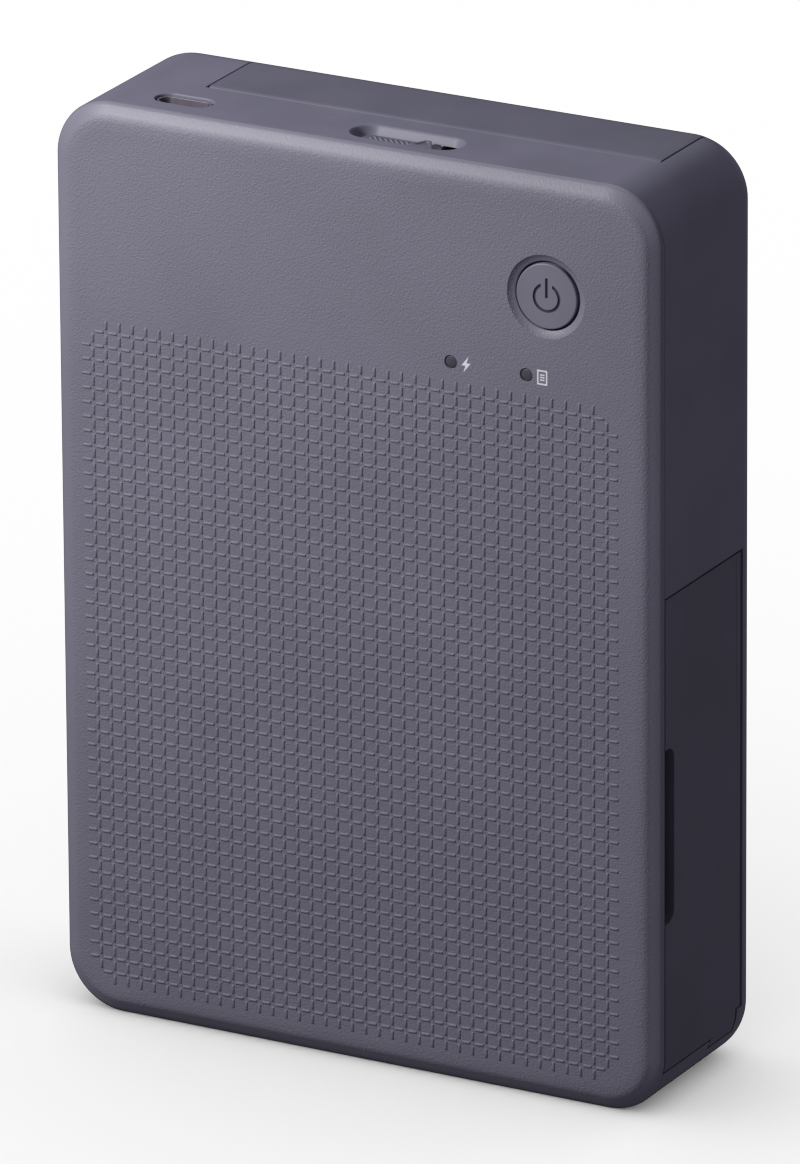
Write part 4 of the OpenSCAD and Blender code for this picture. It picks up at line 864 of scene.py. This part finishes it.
def make_rear_cover():
    """The cover with its top tab, foot pockets, hinge blocks and catches."""
    hub_wide, catch_wide = 6, 1.6
    cover = body_wall("rear_cover_shell")
    # The hinge blocks overlap the kept region, so that no two faces lie in one plane.
    for x in (COVER_X[0] - 0.4, COVER_X[1] - hub_wide):
        hinge_block = block("block", (x, x + hub_wide + 0.4), (ROUND_Y - 0.5, REAR), (0, HINGE[1]))
        carve(cover, hinge_block, operation="UNION")
    carve(cover, body("whole", 0, HOUSING), operation="INTERSECT")
    kept = block("kept", COVER_X, (ROUND_Y, BEYOND), (BELOW, ABOVE))
    carve(kept, block("kept_tab", COVER_X, (TAB_Y, BEYOND), (TAB_LOW, ABOVE)), operation="UNION")
    carve(cover, kept, operation="INTERSECT")
    carve(cover, *[rod("pocket", 4.02, (15.65, 18), "Y", place, 48) for place in FEET])

    def on_tab_edge(a, b):
        return min(a.z, b.z) > HEIGHT - 0.6 and max(abs(a.y - TAB_Y), abs(b.y - TAB_Y)) < 0.01

    round_edges(cover, on_tab_edge, 0.6, 5)
    soften(cover, 0.16, 3, 32)
    inner = []
    for x in (COVER_X[0], COVER_X[1] - hub_wide):
        hub = hinge_bar("hub", 2.4, (x, x + hub_wide))
        inner.append(smooth(carve(hub, hinge_bar("bore", 1.05, (x - 1, x + hub_wide + 1)))))
    for x in (COVER_X[0], COVER_X[1] - catch_wide):
        span = (x, x + catch_wide)
        inner.append(block("arm", span, (TAB_Y, TAB_Y + 5), (142, 144.3)))
        inner.append(block("reach", span, (-5.1, TAB_Y + 1), (142, 143)))
        inner.append(block("catch", span, (-5.1, -3.8), (140.6, 142.1)))
    gather(cover, *inner)
    # The rear cover's finish is a darker copy of the housing plastic: painted shade.
    dress(cover, "housing_plastic", "rear_cover", "rear_cover", material=rear_cover_painted_shade)


def make_feet():
    """Four round rubber feet, each with a raised rim and a shallow ring."""
    feet = []
    for place in FEET:
        foot = rod("rubber_foot", 3.95, (15.66, 16.45), "Y", place, 48)
        with Edit(foot) as edit:
            edit.faces(lambda c, n: n.y > 0.99)
            step_in(quarter(0.2, 0.2, 4) + [(0.55, 0), (0.1, -0.12), (0.9, 0), (0.1, 0.12), (0.9, 0)])
        feet.append(foot)
    foot = gather(*feet)
    smooth(foot, 35)
    dress(foot, "foot_rubber", "rear_cover", "rubber_feet")


def make_flap():
    """The side panel with its thumb notch and the knuckle that it turns on."""
    flap = body_wall("flap_panel")
    kept = block("kept", FLAP_X, (HOUSING + 0.22, FLAP_REAR), FLAP_Z)
    step = block("kept_step", FLAP_X, (STEP_Y, FLAP_REAR), (STEP_LOW, FLAP_Z[1]))
    carve(kept, step, operation="UNION")
    carve(flap, kept, operation="INTERSECT")
    middle, half, notch_rear = sum(FLAP_Z) / 2, 13.9, -11.4
    notch = block("notch", (41, 53), (HOUSING - 1, notch_rear), (middle - half, middle + half))
    round_edges(notch, lambda a, b: along("X")(a, b) and max(a.y, b.y) > notch_rear - 0.6, 2, 8)
    carve(flap, notch)
    knuckle_r, knuckle_z = 0.9, (PIN_LOW, FLAP_Z[1])
    web = block("web", (HALF_W - 2 * knuckle_r, HALF_W), (FLAP_REAR - 0.1, FLAP_PIN[1]), knuckle_z)
    knuckle = rod("knuckle", knuckle_r, knuckle_z, "Z", FLAP_PIN, 48)
    carve(flap, web, knuckle, operation="UNION")
    soften(flap, 0.18, 3, 34)
    # The flap's finish is a darker copy of the housing plastic: painted shade.
    dress(flap, "housing_plastic", "side_flap", "side_flap", material=flap_painted_shade)


# ---------------------------------------------------------------- switch and socket


def make_switch():
    """The open switch: a slider with a field of small studs and a wedge-shaped nose."""
    top = HEIGHT - 1.3
    x0, x1 = SLIDER
    slider = slot_form("switch_grip", (x1 - x0, 4.2), (142.6, top), ((x0 + x1) / 2, SWITCH_Y))
    soften(slider, 0.12, 2, 40)
    x, y, half = x0 + 1.85, SWITCH_Y - 1.5, 0.25
    stud = block("stud", (x - half, x + half), (y - half, y + half), (top - 0.05, top + 0.15))
    with Edit(stud) as edit:
        edit.faces(lambda c, n: n.z > 0.9)
        bpy.ops.transform.resize(value=(0.4, 0.4, 1), center_override=(MM * x, MM * y, MM * top))
    pitch_x, pitch_y = 0.9, 1.0
    repeat(stud, 8, (pitch_x, 0, 0))
    gather(stud, shift(twin(stud, "between"), pitch_x / 2, pitch_y / 2))
    repeat(stud, 3, (0, pitch_y, 0))
    x = 8.3
    nose = block("nose", (x - 2, x + 2), (SWITCH_Y - 1.4, SWITCH_Y + 1.4), (top - 0.1, top + 0.78))
    with Edit(nose) as edit:
        edit.points(lambda p: p.y > SWITCH_Y)
        narrow = (0.26, 1, 1)
        bpy.ops.transform.resize(value=narrow, center_override=(MM * x, MM * SWITCH_Y, MM * top))
        edit.faces(lambda c, n: n.z > 0.9)
        step_in([(0.38, 0.02), (0.16, -0.3)])
    soften(nose, 0.1, 2, 40)
    gather(slider, stud, nose)
    dress(slider, "slider_plastic", "open_switch", "switch_slider")


def make_socket():
    """The socket's metal shell, its tongue and the contacts on both sides of the tongue."""
    wide, deep, sheet = 8.94, 3.26, 0.3
    shell = slot_form("socket_shell", (wide, deep), (138.8, 145.5), SOCKET)
    carve(shell, slot_form("inside", (wide - 2 * sheet, deep - 2 * sheet), (139.1, 147), SOCKET))
    soften(shell, 0.06, 2, 40)
    dress(shell, "socket_metal", "housing", "usb_shell")
    x, y = SOCKET
    tongue = block("socket_tongue", (x - 3.35, x + 3.35), (y - 0.35, y + 0.35), (139.1, 144.3))
    round_edges(tongue, lambda a, b: min(a.z, b.z) > 144.2 and abs(a.y - b.y) < 0.01, 0.22, 3)
    soften(tongue, 0.05, 1, 40)
    dress(tongue, "component_black", "housing", "usb_tongue")
    pads = block("socket_contacts", (x - 2.9, x - 2.65), (y - 0.37, y - 0.3), (139.8, 143.7))
    soften(pads, 0.01, 1, 40)
    repeat(pads, 12, (0.505, 0, 0))
    other = shift(twin(pads, "other"), 0, 0.67)
    gather(pads, other)
    dress(pads, "pinion_brass", "housing", material=contact_gold)


# ---------------------------------------------------------------- the rest of the solids


def finish_solids():
    """Gives each solid that is still seen the finish of its slot."""
    for entry in frame["record"]["subparts"]:
        node = frame["nodes"][entry["node"]]
        if node.hide_render:
            continue
        node.data.materials.clear()
        node.data.materials.append(finishes[entry["material_slot"]])
        make_active(node)
        bpy.ops.object.shade_smooth_by_angle(angle=math.radians(25))


# ---------------------------------------------------------------- stage


def make_camera():
    """A long lens in front, above and to the right."""
    data = bpy.data.cameras.new("view")
    data.sensor_width = 36
    data.lens = 437.26
    data.clip_start, data.clip_end = 0.05, 50
    camera = bpy.data.objects.new("view", data)
    bpy.context.scene.collection.objects.link(camera)
    right = Vector((0.87815063, 0.47834335, -0.0062535))
    up = Vector((-0.15908763, 0.30433393, 0.93918688))
    back = Vector((0.45115695, -0.82375269, 0.34334954))
    turn = Matrix((right, up, back)).transposed().to_4x4()
    camera.matrix_world = Matrix.Translation((0.95705, -1.74986, 0.80105)) @ turn
    bpy.context.scene.camera = camera


def make_light(name, place, target, size, power, colour):
    """A round soft light aimed at a point; places and sizes in metres, power in watts."""
    data = bpy.data.lights.new(name, "AREA")
    data.shape = "DISK"
    data.size = size
    data.energy = power
    data.color = colour
    lamp = bpy.data.objects.new(name, data)
    bpy.context.scene.collection.objects.link(lamp)
    lamp.location = place
    aim = Vector(target) - Vector(place)
    lamp.rotation_euler = aim.to_track_quat("-Z", "Y").to_euler()
    return lamp


def make_stage():
    """A white floor that catches shadows, a white surround that lights softly, and two lamps."""
    select_nothing()
    bpy.ops.mesh.primitive_plane_add(size=8, location=(0, 0, 0))
    floor = settle("floor")
    paint = Finish("floor_paint", Base_Color=(0.9, 0.9, 0.9), Roughness=0.9)
    paint.colour(paint.mix(paint.noise(1.5, 2), (0.88, 0.88, 0.88), (0.92, 0.92, 0.92)))
    floor.data.materials.append(paint.material)
    floor.is_shadow_catcher = True

    world = bpy.data.worlds.new("studio")
    bpy.context.scene.world = world
    world.use_nodes = True
    nodes, links = world.node_tree.nodes, world.node_tree.links
    nodes.clear()
    path = nodes.new("ShaderNodeLightPath")
    seen, fill = nodes.new("ShaderNodeBackground"), nodes.new("ShaderNodeBackground")
    seen.inputs[0].default_value, seen.inputs[1].default_value = (1, 1, 1, 1), 1.0
    fill.inputs[0].default_value, fill.inputs[1].default_value = (0.985, 0.935, 1.07, 1), 0.22
    mix, out = nodes.new("ShaderNodeMixShader"), nodes.new("ShaderNodeOutputWorld")
    links.new(path.outputs["Is Camera Ray"], mix.inputs[0])
    links.new(fill.outputs[0], mix.inputs[1])
    links.new(seen.outputs[0], mix.inputs[2])
    links.new(mix.outputs[0], out.inputs[0])

    lamps = [
        make_light("key", (-0.18, -0.24, 0.31), (0.0, -0.01, 0.09), 0.07, 1.55, (1, 0.99, 0.98)),
        make_light("top_soft", (-0.1, 0.35, 0.9), (0, 0, 0.1), 0.5, 1.6, (0.96, 0.98, 1)),
    ]
    lit = bpy.data.collections.new("lit")
    for thing in list(bpy.context.scene.collection.objects):
        if thing.type == "MESH" and thing != floor:
            lit.objects.link(thing)
    for lamp in lamps:
        lamp.light_linking.receiver_collection = lit
    bpy.context.scene.view_settings.view_transform = "Standard"


make_front_cover()
make_ribs()
make_marks()
make_button()
make_lenses()
make_housing()
make_rear_cover()
make_feet()
make_flap()
make_switch()
make_socket()
finish_solids()
make_camera()
make_stage()
